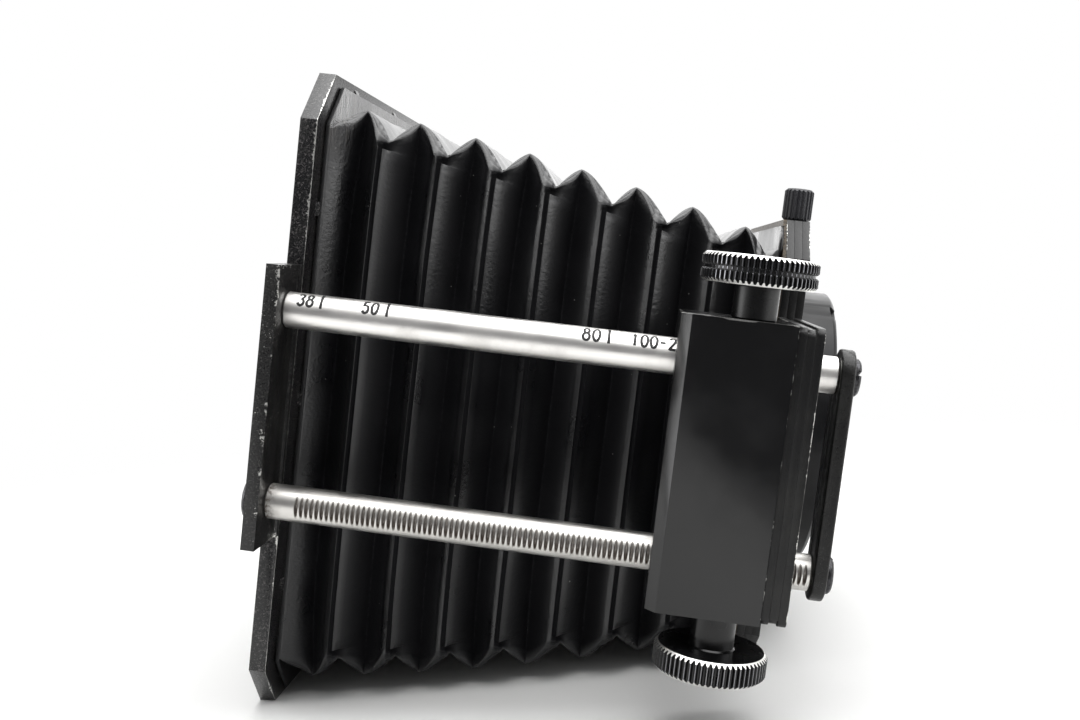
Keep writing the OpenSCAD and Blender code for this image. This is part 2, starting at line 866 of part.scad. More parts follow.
module lower_knob() {
  color("#1f1f20")
    on_shaft(-1)
      knob(lower_knob_h, 1);
}

module knob_set_screws() {
  color("#767678")
    for (side = [-1, 1])
      on_shaft(side)
        set_screw_at()
          difference() {
            translate([0, 0, shaft_r])
              cylinder(r = set_screw_r, h = hub_r - shaft_r - set_screw_sunk);
            translate([-set_screw_r - over, -fine_slot_w / 2, hub_r - set_screw_sunk - fine_slot_w])
              cube([2 * (set_screw_r + over), fine_slot_w, over]);
          }
}

module thumb_screw() {
  head_z = plate_half + thumb_lift;
  bevel = 0.4;
  color("#161617")
    translate([thumb_x, -thumb_y, 0])
      union() {
        z_rod(stem_r, stem_tip_z, head_z + over);
        translate([0, 0, head_z])
          knurled_disc(thumb_r, thumb_h, bevel, flute_d / 2, thumb_flutes);
      }
}

front_frame();
flange_tabs();
rail_bracket();
bracket_screws();
scale_rail();
rack_rail();
front_screw_upper();
front_screw_lower();
end_strap();
strap_screws();
bellows();
bellows_brass_frame();
plate_front();
plate_core();
plate_back();
plate_screws();
lens_ring();
carriage_block();
carriage_screws();
rail_bushes();
pinion_bushes();
brake_pad();
brake_springs();
brake_plug();
pinion_shaft();
upper_knob();
lower_knob();
knob_set_screws();
thumb_screw();
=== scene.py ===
import logging
import math
from dataclasses import dataclass
from enum import Enum
from functools import lru_cache
from typing import Any, ClassVar, Sequence

import bmesh
import bpy
import numpy as np
from mathutils import Matrix, Vector


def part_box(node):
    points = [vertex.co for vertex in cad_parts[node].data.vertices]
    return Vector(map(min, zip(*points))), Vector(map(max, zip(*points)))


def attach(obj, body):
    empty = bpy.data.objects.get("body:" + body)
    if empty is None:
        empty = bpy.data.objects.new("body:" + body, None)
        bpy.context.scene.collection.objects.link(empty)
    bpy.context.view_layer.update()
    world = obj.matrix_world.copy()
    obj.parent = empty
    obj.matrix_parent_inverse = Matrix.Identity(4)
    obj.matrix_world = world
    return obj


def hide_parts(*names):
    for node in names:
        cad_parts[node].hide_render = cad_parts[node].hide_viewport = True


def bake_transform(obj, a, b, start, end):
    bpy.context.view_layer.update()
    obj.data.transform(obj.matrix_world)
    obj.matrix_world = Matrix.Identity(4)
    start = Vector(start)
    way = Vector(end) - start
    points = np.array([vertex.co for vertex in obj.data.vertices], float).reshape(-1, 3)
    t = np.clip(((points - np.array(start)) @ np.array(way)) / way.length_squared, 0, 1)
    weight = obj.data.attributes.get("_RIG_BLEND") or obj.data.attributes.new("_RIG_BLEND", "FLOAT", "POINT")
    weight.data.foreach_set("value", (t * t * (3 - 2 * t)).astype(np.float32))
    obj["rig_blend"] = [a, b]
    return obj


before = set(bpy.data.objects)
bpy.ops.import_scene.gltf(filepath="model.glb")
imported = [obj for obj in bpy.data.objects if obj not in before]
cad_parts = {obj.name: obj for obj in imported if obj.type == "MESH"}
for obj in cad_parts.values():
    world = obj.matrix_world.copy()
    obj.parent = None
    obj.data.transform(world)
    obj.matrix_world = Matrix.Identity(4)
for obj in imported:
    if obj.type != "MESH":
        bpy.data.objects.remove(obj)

MM = 0.001
WELD_M = 1e-7
CAD_WELD_M = 2e-7
CAD_FLAT_DEG = 0.4
ROUND_STEPS = 2
ROUND_ABOVE_DEG = 30.0
log = logging.getLogger("bellows_hood")

Tree = bpy.types.NodeTree
Socket = bpy.types.NodeSocket
Plane = tuple[tuple[float, float, float], float]
Row = tuple[float, float, float, float]

# Settings that many nodes share: a ramp that eases in and out, and a mix of two colours.
EASED = {"interpolation_type": "SMOOTHSTEP"}
COLOURS = {"data_type": "RGBA", "out": 2}


class Body(str, Enum):
    """The bodies that pieces ride on."""

    REAR = "rear_standard"
    FRONT = "front_standard"
    RING = "lens_ring"
    PINION = "pinion"
    THUMB = "thumb_screw"


class Side(int, Enum):
    """The four sides of the square bellows, in the order in which its columns run."""

    NEAR = 0
    TOP = 1
    FAR = 2
    BOTTOM = 3


# Small tools

def srgb(code: str) -> tuple[float, float, float, float]:
    """Turns a colour as a screen shows it into linear light.

    Args:
        code: sRGB hex value such as "#1b1b1c".

    Returns:
        Linear red, green, blue and an alpha of 1.
    """
    parts = [int(code[i:i + 2], 16) / 255 for i in (1, 3, 5)]
    return tuple(c / 12.92 if c <= 0.04045 else ((c + 0.055) / 1.055) ** 2.4 for c in parts) + (1.0,)


def add(tree: Tree, kind: str, inputs: dict | None = None, out: int | str = 0,
        **settings: Any) -> Socket | None:
    """Adds one shader node, sets it up and links it.

    Args:
        tree: The node tree.
        kind: The node's type without its "ShaderNode" prefix.
        inputs: Input name or number -> a value, or an output socket to link.
        out: The output to return.
        **settings: The node's own settings.

    Returns:
        The chosen output socket, or None for a node without outputs.
    """
    node = tree.nodes.new("ShaderNode" + kind)
    for name, value in settings.items():
        setattr(node, name, value)
    for key, value in (inputs or {}).items():
        if isinstance(value, Socket):
            tree.links.new(value, node.inputs[key])
        else:
            node.inputs[key].default_value = value
    return node.outputs[out] if len(node.outputs) else None


def feed(tree: Tree, shader: bpy.types.Node, **sockets: Socket) -> None:
    """Links sockets to the shader's inputs, named with underscores for spaces."""
    for name, socket in sockets.items():
        tree.links.new(socket, shader.inputs[name.replace("_", " ")])


def on_side(side: Side, x: np.ndarray, out: np.ndarray, along: np.ndarray) -> np.ndarray:
    """Places points on one side of the square, seen along the lens axis.

    Args:
        side: The side.
        x: Place along the lens axis.
        out: Distance from the axis.
        along: Place along the side.

    Returns:
        The points in the row frame.
    """
    y, z = ((-out, along), (along, out), (out, -along), (-along, -out))[side]
    return np.stack([x, y, z], axis=-1)


# Meshes

def part_way(value: np.ndarray, start: float | np.ndarray, stop: float | np.ndarray) -> np.ndarray:
    """Works out how far values are on their way from start to stop.

    Args:
        value: The values.
        start: Where the way starts.
        stop: Where it ends, which may be below start.

    Returns:
        0 at start and before it, 1 at stop and past it, and even between them.
    """
    return np.clip((value - start) / (stop - start), 0, 1)


def grid_faces(rows: int, columns: int, wrap_columns: bool = False) -> np.ndarray:
    """Lists the quads of a grid whose vertices run column by column within each row.

    Args:
        rows: Number of rows.
        columns: Number of columns.
        wrap_columns: Whether the last column joins the first.

    Returns:
        An array of quads, four vertex numbers each, with row and then column as the turning sense.
    """
    row = columns * np.arange(rows - 1)[:, None]
    column = np.arange(columns if wrap_columns else columns - 1)[None, :]
    beside = (column + 1) % columns
    quads = [row + column, row + columns + column, row + columns + beside, row + beside]
    return np.stack(quads, axis=-1).reshape(-1, 4)


def make_piece(name: str, points: np.ndarray, faces: Sequence, finishes: Sequence["Finish"],
               face_finish: np.ndarray | None = None, smooth: float = 35.0, weld: bool = False,
               fields: dict[str, np.ndarray] | None = None) -> bpy.types.Object:
    """Makes a mesh object at the origin.

    Args:
        name: The piece's name.
        points: Vertices in millimetres, in the row frame.
        faces: Vertex numbers of each face.
        finishes: The finishes, in the order of the material slots.
        face_finish: Slot number of each face.
        smooth: Angle in degrees above which an edge stays sharp.
        weld: Whether points that coincide are merged, which closes poles and seams.
        fields: Named numbers per vertex for the materials.

    Returns:
        The new object.
    """
    mesh = bpy.data.meshes.new(name)
    mesh.from_pydata((points.reshape(-1, 3) * MM).tolist(), [], [tuple(map(int, face)) for face in faces])
    for title, numbers in (fields or {}).items():
        attribute = mesh.attributes.new(title, "FLOAT", "POINT")
        attribute.data.foreach_set("value", np.ravel(numbers).astype(np.float32))
    for finish in finishes:
        mesh.materials.append(finish.material())
    if face_finish is not None:
        mesh.polygons.foreach_set("material_index", np.asarray(face_finish, dtype=np.int32))
    if weld:
        shape = bmesh.new()
        shape.from_mesh(mesh)
        bmesh.ops.remove_doubles(shape, verts=shape.verts, dist=WELD_M)
        shape.to_mesh(mesh)
        shape.free()
    mesh.shade_smooth()
    mesh.set_sharp_from_angle(angle=math.radians(smooth))
    mesh.update()
    piece = bpy.data.objects.new(name, mesh)
    bpy.context.scene.collection.objects.link(piece)
    return piece


def rounded_copy(node: str, width: float, finish: "Finish") -> bpy.types.Object:
    """Copies a CAD node, merged and cleaned, and rounds its edges.

    Args:
        node: The CAD node.
        width: Width of the rounding in millimetres.
        finish: The copy's finish.

    Returns:
        The new object.
    """
    shape = bmesh.new()
    shape.from_mesh(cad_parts[node].data)
    bmesh.ops.remove_doubles(shape, verts=shape.verts, dist=CAD_WELD_M)
    bmesh.ops.dissolve_limit(shape, angle_limit=math.radians(CAD_FLAT_DEG), verts=shape.verts,
                             edges=shape.edges)
    mesh = bpy.data.meshes.new(node + "_rounded")
    shape.to_mesh(mesh)
    shape.free()
    mesh.materials.clear()
    mesh.materials.append(finish.material())
    mesh.polygons.foreach_set("material_index", np.zeros(len(mesh.polygons), dtype=np.int32))
    mesh.shade_smooth()
    piece = bpy.data.objects.new(node + "_rounded", mesh)
    bpy.context.scene.collection.objects.link(piece)
    edge = piece.modifiers.new("rounded_edges", "BEVEL")
    edge.width = width * MM
    edge.segments = ROUND_STEPS
    edge.limit_method = "ANGLE"
    edge.angle_limit = math.radians(ROUND_ABOVE_DEG)
    edge.harden_normals = True
    edge.miter_outer = "MITER_ARC"
    return piece


def settle(piece: bpy.types.Object, body: Body, node: str | None = None) -> None:
    """Lets a piece ride on its body and logs it.

    Args:
        piece: The piece.
        body: The body that it moves with.
        node: The CAD node that it replaces, if any.
    """
    if node:
        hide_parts(node)
    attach(piece, body.value)
    log.info("%s rides on %s, %d faces", piece.name, body.value, len(piece.data.polygons))


def dress(node: str, finish: "Finish") -> None:
    """Gives a CAD node that stays as it is its finish.

    Args:
        node: The CAD node.
        finish: Its finish.
    """
    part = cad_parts[node]
    part.data.materials.clear()
    part.data.materials.append(finish.material())
    log.info("%s keeps its shape and is %s", node, finish.title)


# Finishes

@dataclass(frozen=True)
class Finish:
    """What every finish here has: a name, a colour and how it takes the light."""

    title: str
    colour: str
    roughness: float
    metallic: float = 0.0
    ior: float = 1.5

    @lru_cache(maxsize=None)
    def material(self) -> bpy.types.Material:
        """Builds the material once.

        Returns:
            The material, named for what the real one is.
        """
        material = bpy.data.materials.new(self.title)
        material.use_nodes = True
        tree = material.node_tree
        tree.nodes.clear()
        shader = add(tree, "BsdfPrincipled", {"Base Color": srgb(self.colour), "Roughness": self.roughness,
                                              "Metallic": self.metallic, "IOR": self.ior})
        add(tree, "OutputMaterial", {"Surface": shader})
        place = add(tree, "TexCoord", out="Object")
        place = add(tree, "VectorMath", {0: place, "Scale": 1 / MM}, operation="SCALE")
        self.pattern(tree, shader.node, place)
        return material

    def pattern(self, tree: Tree, shader: bpy.types.Node, place: Socket) -> None:
        """Adds the finish's own detail.

        Args:
            tree: The material's node tree.
            shader: The Principled shader.
            place: Object coordinates in millimetres.
        """


@dataclass(frozen=True)
class EdgeWear:
    """Where a straight-sided plate or block has its edges, in millimetres.

    The surface lies on one of the listed planes, so the greater of the distance to the nearest end plane
    and the distance to the nearest outline plane is the distance to the nearest edge. A plate with an ear
    has another outline at smaller y than ear_y.
    """

    ends: tuple[Plane, ...]
    outline: tuple[Plane, ...]
    ear_y: float = 0.0
    ear: tuple[Plane, ...] = ()

    def distance(self, tree: Tree, place: Socket) -> Socket:
        """Works out the distance to the nearest edge.

        Args:
            tree: The node tree.
            place: Object coordinates in millimetres.

        Returns:
            The distance in millimetres.
        """
        def gap(point: Socket, planes: Sequence[Plane]) -> Socket:
            """Works out the distance to the nearest of some planes.

            Args:
                point: The point that is measured.
                planes: Each plane's normal and its distance from the origin.

            Returns:
                The distance in millimetres.
            """
            least = None
            for normal, offset in planes:
                along = add(tree, "VectorMath", {0: point, 1: normal}, out="Value", operation="DOT_PRODUCT")
                away = add(tree, "Math", {0: along, 1: offset}, operation="SUBTRACT")
                away = add(tree, "Math", {0: away}, operation="ABSOLUTE")
                least = away if least is None else add(tree, "Math", {0: least, 1: away}, operation="MINIMUM")
            return least

        mirrored = add(tree, "VectorMath", {0: place}, operation="ABSOLUTE")
        around = gap(mirrored, self.outline)
        if self.ear:
            y = add(tree, "SeparateXYZ", {0: place}).node.outputs["Y"]
            on_ear = add(tree, "Math", {0: y, 1: self.ear_y}, operation="LESS_THAN")
            around = add(tree, "Mix", {0: on_ear, 2: around, 3: gap(mirrored, self.ear)})
        return add(tree, "Math", {0: gap(place, self.ends), 1: around}, operation="MAXIMUM")


@dataclass(frozen=True)
class WornPaint(Finish):
    """Black paint on aluminium, rubbed through to bright metal along its edges.

    Wrinkle paint dries into fine cells that break the highlight up; where hands and bags rub, the paint
    thins to a narrow ragged line of bare metal with small chips behind it. The rubbed patches are about
    8 mm wide, the chips about 0.8 mm. line is the width of the bare line and ragged how much it varies,
    cell and depth are the wrinkles' size, all in millimetres; fleck says how many chips there are and the
    next share how many grey specks away from the edges, both from 0 to 1. The grey specks are dust and a
    painted glint of the wrinkle grain.
    """

    wear: EdgeWear | None = None
    line: float = 0.18
    ragged: float = 0.25
    cell: float = 0.45
    depth: float = 0.03
    fleck: float = 0.0
    dust_and_glint: float = 0.0
    bare: str = "#dddcd8"
    bare_roughness: float = 0.35
    tint: str = "#1a1a19"
    # Grey of the specks: dust and painted glint.
    dust: str = "#8f8a8a"

    def bare_metal(self, tree: Tree, place: Socket, rub: Socket) -> Socket | None:
        """Works out where the paint is gone.

        Args:
            tree: The material's node tree.
            place: Object coordinates in millimetres.
            rub: Noise that says where the paint is rubbed.

        Returns:
            1 on bare metal and 0 on paint, or None where the piece isn't worn.
        """
        metal = None
        if self.fleck:
            spots = add(tree, "TexNoise", {"Vector": place, "Scale": 1.9, "Detail": 5.0, "Roughness": 0.75})
            least = 0.75 - 0.12 * self.fleck
            patch = add(tree, "MapRange", {0: rub, 1: 0.4, 2: 0.6, 3: 0.75, 4: least}, **EASED)
            spots = add(tree, "Math", {0: spots, 1: patch}, operation="SUBTRACT")
            metal = add(tree, "MapRange", {0: spots, 1: -0.005, 2: 0.02}, **EASED)
        if self.wear:
            chips = add(tree, "TexNoise", {"Vector": place, "Scale": 1.3, "Detail": 5.0, "Roughness": 0.7})
            chips = add(tree, "MapRange", {0: chips, 1: 0.4, 2: 0.7}, **EASED)
            runs = add(tree, "TexNoise", {"Vector": place, "Scale": 0.16, "Detail": 2.0})
            runs = add(tree, "MapRange", {0: runs, 1: 0.42, 2: 0.62}, **EASED)
            reach = add(tree, "Math", {0: runs, 1: chips}, operation="MULTIPLY")
            width = add(tree, "Math", {0: reach, 1: self.ragged * 2, 2: self.line - self.ragged * 0.6},
                        operation="MULTIPLY_ADD")
            past = add(tree, "Math", {0: self.wear.distance(tree, place), 1: width}, operation="SUBTRACT")
            line = add(tree, "MapRange", {0: past, 1: 0.05, 2: -0.05}, **EASED)
            metal = line if metal is None else add(tree, "Math", {0: metal, 1: line}, operation="MAXIMUM")
        return metal

    def pattern(self, tree: Tree, shader: bpy.types.Node, place: Socket) -> None:
        """Adds wrinkle cells, rubbed patches, worn edges and chips.

        Args:
            tree: The material's node tree.
            shader: The Principled shader.
            place: Object coordinates in millimetres.
        """
        cells = add(tree, "TexVoronoi", {"Vector": place, "Scale": 1 / self.cell}, feature="SMOOTH_F1")
        grit = add(tree, "TexNoise", {"Vector": place, "Scale": 2.2 / self.cell, "Detail": 3.0})
        height = add(tree, "Math", {0: cells, 1: grit}, operation="ADD")
        bump = add(tree, "Bump", {"Height": height, "Strength": 1.0, "Distance": self.depth * MM})
        rub = add(tree, "TexNoise", {"Vector": place, "Scale": 0.12, "Detail": 4.0, "Roughness": 0.6})
        rubbed = add(tree, "MapRange", {0: rub, 1: 0.42, 2: 0.68}, **EASED)
        colour = add(tree, "Mix", {0: rubbed, 6: srgb(self.colour), 7: srgb(self.tint)}, **COLOURS)
        # Grey specks: dust, and a painted glint of the wrinkle grain.
        grain = add(tree, "TexNoise", {"Vector": place, "Scale": 1.1 / self.cell, "Detail": 2.0,
                                       "Roughness": 0.7})
        grain = add(tree, "MapRange", {0: grain, 1: 0.52, 2: 0.72, 4: self.dust_and_glint}, **EASED)
        colour = add(tree, "Mix", {0: grain, 6: colour, 7: srgb(self.dust)}, **COLOURS)
        rough = add(tree, "MapRange", {0: grit, 1: 0.3, 2: 0.7, 3: self.roughness - 0.08,
                                       4: self.roughness + 0.1}, **EASED)
        metal = self.bare_metal(tree, place, rub)
        if metal is not None:
            colour = add(tree, "Mix", {0: metal, 6: colour, 7: srgb(self.bare)}, **COLOURS)
            rough = add(tree, "Mix", {0: metal, 2: rough, 3: self.bare_roughness})
            feed(tree, shader, Metallic=metal)
        feed(tree, shader, Base_Color=colour, Roughness=rough, Normal=bump)


@dataclass(frozen=True)
class Leatherette(Finish):
    """Satin black leatherette over card: a fine pebbled grain, stretched across the folds, with dust on it.

    The skin's own numbers say where it is creased ("fold") and how much shade is painted on it: 0 on the
    lips of the folds, where a highlight is painted and hands also rub the skin smooth, and 1 down in the
    valleys, grooves and pinches, where shade is painted. The specular level is lip_sheen at the first and
    valley_sheen at the second, so the sheen is painted through it. The pebbles are 0.5 mm wide, the wrinkles
    0.8 mm apart.
    """

    grain: float = 0.5
    clouds: str = "#121214"
    crease_wear_and_highlight: str = "#222224"
    dust: str = "#6a6967"
    # Lighter grey of the upper front flange: a painted sheen on its wrinkles.
    upper_flange_sheen: str = "#3b3836"
    # Specular levels of the painted sheen: on the lips, where highlights are painted, and in the valleys,
    # where shade is painted.
    lip_sheen: float = 0.658
    valley_sheen: float = 0.07

    def upper_flange_streaks(self, tree: Tree, place: Socket) -> tuple[Socket, Socket]:
        """Draws the wrinkles of the upper front flange, about 1 mm apart and 7 mm long, where a lighter grey
        is painted as a sheen.

        Args:
            tree: The material's node tree.
            place: Object coordinates in millimetres.

        Returns:
            Where the upper flange's wrinkles and painted sheen lie, from 0 to 1, and the streaks.
        """
        x, _, z = add(tree, "SeparateXYZ", {0: place}).node.outputs
        ahead = add(tree, "MapRange", {0: x, 1: -98.0, 2: -101.5}, **EASED)
        above = add(tree, "MapRange", {0: z, 1: 45.0, 2: 52.0}, **EASED)
        drawn = add(tree, "VectorMath", {0: place, 1: (0.6, 1.0, 0.16)}, operation="MULTIPLY")
        streaks = add(tree, "TexNoise", {"Vector": drawn, "Scale": 0.9, "Detail": 4.0, "Roughness": 0.7})
        return add(tree, "Math", {0: ahead, 1: above}, operation="MULTIPLY"), streaks

    def pattern(self, tree: Tree, shader: bpy.types.Node, place: Socket) -> None:
        """Adds the grain, short cross wrinkles, painted sheen on the folds, painted shade in the valleys and
        dust.

        Args:
            tree: The material's node tree.
            shader: The Principled shader.
            place: Object coordinates in millimetres.
        """
        pebbles = add(tree, "TexVoronoi", {"Vector": place, "Scale": 1 / self.grain}, feature="SMOOTH_F1")
        pull = add(tree, "VectorMath", {0: place, 1: (0.22, 1.0, 1.0)}, operation="MULTIPLY")
        wrinkles = add(tree, "TexNoise", {"Vector": pull, "Scale": 1.3, "Detail": 3.0, "Roughness": 0.6})
        height = add(tree, "Math", {0: wrinkles, 1: 3.6, 2: pebbles}, operation="MULTIPLY_ADD")
        upper_flange_sheen, streaks = self.upper_flange_streaks(tree, place)
        cracks = add(tree, "Math", {0: upper_flange_sheen, 1: streaks}, operation="MULTIPLY")
        height = add(tree, "Math", {0: cracks, 1: 30.0, 2: height}, operation="MULTIPLY_ADD")
        bump = add(tree, "Bump", {"Height": height, "Strength": 0.5, "Distance": 0.04 * MM})

        # The specular level is a painted sheen: high where highlights are painted on the fold lips, low where
        # shade is painted in valleys, grooves, ledges and pinches.
        painted_shade = add(tree, "Attribute", out="Fac", attribute_name="painted_shade")
        painted_sheen = add(tree, "MapRange", {0: painted_shade, 3: self.lip_sheen, 4: self.valley_sheen})
        cloud = add(tree, "TexNoise", {"Vector": place, "Scale": 0.09, "Detail": 3.0})
        rough = add(tree, "MapRange", {0: cloud, 1: 0.3, 2: 0.7, 3: self.roughness - 0.04,
                                       4: self.roughness + 0.07}, **EASED)
        rougher = add(tree, "MapRange", {0: painted_shade, 1: 0.55, 2: 1.0, 4: 0.3}, **EASED)
        rough = add(tree, "Math", {0: rough, 1: rougher}, operation="ADD")

        cloudy = add(tree, "MapRange", {0: cloud, 1: 0.35, 2: 0.7}, **EASED)
        colour = add(tree, "Mix", {0: cloudy, 6: srgb(self.colour), 7: srgb(self.clouds)}, **COLOURS)
        # Lighter along the valley creases: wear of the creased skin, and a painted highlight on the crease.
        fold = add(tree, "Attribute", out="Fac", attribute_name="fold")
        rub = add(tree, "MapRange", {0: wrinkles, 1: 0.35, 2: 0.7, 3: 0.2, 4: 0.8}, **EASED)
        rub = add(tree, "Math", {0: fold, 1: rub}, operation="MULTIPLY")
        colour = add(tree, "Mix", {0: rub, 6: colour, 7: srgb(self.crease_wear_and_highlight)}, **COLOURS)
        # Painted sheen: the wrinkle streaks of the upper front flange turn a lighter grey where the light
        # glances over it.
        lines = add(tree, "MapRange", {0: streaks, 1: 0.45, 2: 0.62, 4: 0.8}, **EASED)
        lines = add(tree, "Math", {0: upper_flange_sheen, 1: lines}, operation="MULTIPLY")
        colour = add(tree, "Mix", {0: lines, 6: colour, 7: srgb(self.upper_flange_sheen)}, **COLOURS)

        # One cell of about 2 mm in seven holds a speck of dust, up to 0.3 mm wide.
        specks = add(tree, "TexVoronoi", {"Vector": place, "Scale": 0.55}, feature="F1")
        pick = add(tree, "SeparateColor", {"Color": specks.node.outputs["Color"]})
        size = add(tree, "MapRange", {0: pick, 1: 0.86, 2: 1.0, 4: 0.09}, **EASED)
        past = add(tree, "Math", {0: specks, 1: size}, operation="SUBTRACT")
        dust = add(tree, "MapRange", {0: past, 1: 0.02, 2: -0.03}, **EASED)
        colour = add(tree, "Mix", {0: dust, 6: colour, 7: srgb(self.dust)}, **COLOURS)
        feed(tree, shader, Base_Color=colour, Roughness=rough, Normal=bump, Specular_IOR_Level=painted_sheen)


@dataclass(frozen=True)
class Cloth(Finish):
    """Thin black lining cloth: a plain weave, matte and a little hairy."""

    thread: float = 0.45
    fuzz: str = "#1b1b1d"

    def pattern(self, tree: Tree, shader: bpy.types.Node, place: Socket) -> None:
        """Adds a plain weave as two crossed sets of threads, the product of two sines.

        Args:
            tree: The material's node tree.
            shader: The Principled shader.
            place: Object coordinates in millimetres.
        """
        x, y, z = add(tree, "SeparateXYZ", {0: place}).node.outputs
        around = add(tree, "Math", {0: y, 1: z}, operation="ADD")
        waves = []
        for way in (x, around):
            turned = add(tree, "Math", {0: way, 1: 2 * math.pi / self.thread}, operation="MULTIPLY")
            waves.append(add(tree, "Math", {0: turned}, operation="SINE"))
        height = add(tree, "Math", {0: waves[0], 1: waves[1]}, operation="MULTIPLY")
        bump = add(tree, "Bump", {"Height": height, "Strength": 0.6, "Distance": 0.06 * MM})
        hair = add(tree, "TexNoise", {"Vector": place, "Scale": 0.4, "Detail": 4.0})
        colour = add(tree, "Mix", {0: hair, 6: srgb(self.colour), 7: srgb(self.fuzz)}, **COLOURS)
        feed(tree, shader, Base_Color=colour, Normal=bump)


@dataclass(frozen=True)
class TurnedMetal(Finish):
    """Metal with the fine lines of its last cut or grind, slightly smudged by fingers.

    stretch draws the lines out: along a ground bar for a rail, or round a turned piece. The real lines are
    finer than a pixel, so they are drawn 0.12 mm apart to show.
    """

    stretch: tuple[float, float, float] = (0.03, 1.0, 1.0)
    lines: float = 0.12
    depth: float = 0.004
    smudge: str = "#8f8c86"
    dirt: float = 0.35

    def pattern(self, tree: Tree, shader: bpy.types.Node, place: Socket) -> None:
        """Adds tool lines and smudges.

        Args:
            tree: The material's node tree.
            shader: The Principled shader.
            place: Object coordinates in millimetres.
        """
        drawn = add(tree, "VectorMath", {0: place, 1: self.stretch}, operation="MULTIPLY")
        lines = add(tree, "TexNoise", {"Vector": drawn, "Scale": 1 / self.lines, "Detail": 3.0})
        bump = add(tree, "Bump", {"Height": lines, "Strength": 1.0, "Distance": self.depth * MM})
        cloud = add(tree, "TexNoise", {"Vector": place, "Scale": 0.16, "Detail": 5.0, "Roughness": 0.6})
        mask = add(tree, "MapRange", {0: cloud, 1: 0.48, 2: 0.72, 4: self.dirt}, **EASED)
        colour = add(tree, "Mix", {0: mask, 6: srgb(self.colour), 7: srgb(self.smudge)}, **COLOURS)
        rough = add(tree, "MapRange", {0: cloud, 1: 0.3, 2: 0.7, 3: self.roughness - 0.04,
                                       4: self.roughness + 0.08}, **EASED)
        feed(tree, shader, Base_Color=colour, Roughness=rough, Normal=bump)


@dataclass(frozen=True)
class RackSteel(TurnedMetal):
    """The ground bar with brown grime in the tooth gaps and where it meets its bracket."""

    axis: tuple[float, float, float] = (0.0, -67.5, -17.5)
    radius: float = 3.25
    foot_x: float = -104.4
    grime: str = "#3d2c1e"
    grime_roughness: float = 0.7
    grime_cover: float = 0.75

    def pattern(self, tree: Tree, shader: bpy.types.Node, place: Socket) -> None:
        """Adds grime to the ground surface, by depth below the bar's own surface.

        Args:
            tree: The material's node tree.
            shader: The Principled shader.
            place: Object coordinates in millimetres.
        """
        super().pattern(tree, shader, place)
        ground = shader.inputs["Base Color"].links[0].from_socket
        rough = shader.inputs["Roughness"].links[0].from_socket
        centred = add(tree, "VectorMath", {0: place, 1: self.axis}, operation="SUBTRACT")
        x, _, z = add(tree, "SeparateXYZ", {0: centred}).node.outputs
        flat = add(tree, "VectorMath", {0: centred, 1: (0.0, 1.0, 1.0)}, operation="MULTIPLY")
        away = add(tree, "VectorMath", {0: flat}, out="Value", operation="LENGTH")
        spots = add(tree, "TexNoise", {"Vector": place, "Scale": 1.6, "Detail": 4.0})
        fill = add(tree, "MapRange", {0: away, 1: self.radius - 0.05, 2: self.radius - 0.3}, **EASED)
        low = add(tree, "MapRange", {0: z, 1: 1.2, 2: -1.6, 3: 0.65}, **EASED)
        patchy = add(tree, "MapRange", {0: spots, 1: 0.25, 2: 0.6, 3: 0.7}, **EASED)
        for share in (low, patchy):
            fill = add(tree, "Math", {0: fill, 1: share}, operation="MULTIPLY")
        behind = add(tree, "Math", {0: x, 1: self.foot_x}, operation="SUBTRACT")
        rim = add(tree, "MapRange", {0: behind, 1: 2.4, 2: 0.2}, **EASED)
        blots = add(tree, "MapRange", {0: spots, 1: 0.42, 2: 0.62, 3: 0.1, 4: 0.9}, **EASED)
        rim = add(tree, "Math", {0: rim, 1: blots}, operation="MULTIPLY")
        stain = add(tree, "Math", {0: fill, 1: rim}, operation="MAXIMUM")
        cover = add(tree, "Math", {0: stain, 1: self.grime_cover}, operation="MULTIPLY")
        feed(tree, shader,
             Base_Color=add(tree, "Mix", {0: stain, 6: ground, 7: srgb(self.grime)}, **COLOURS),
             Roughness=add(tree, "Mix", {0: stain, 2: rough, 3: self.grime_roughness}),
             Metallic=add(tree, "Math", {0: 1.0, 1: cover}, operation="SUBTRACT"))


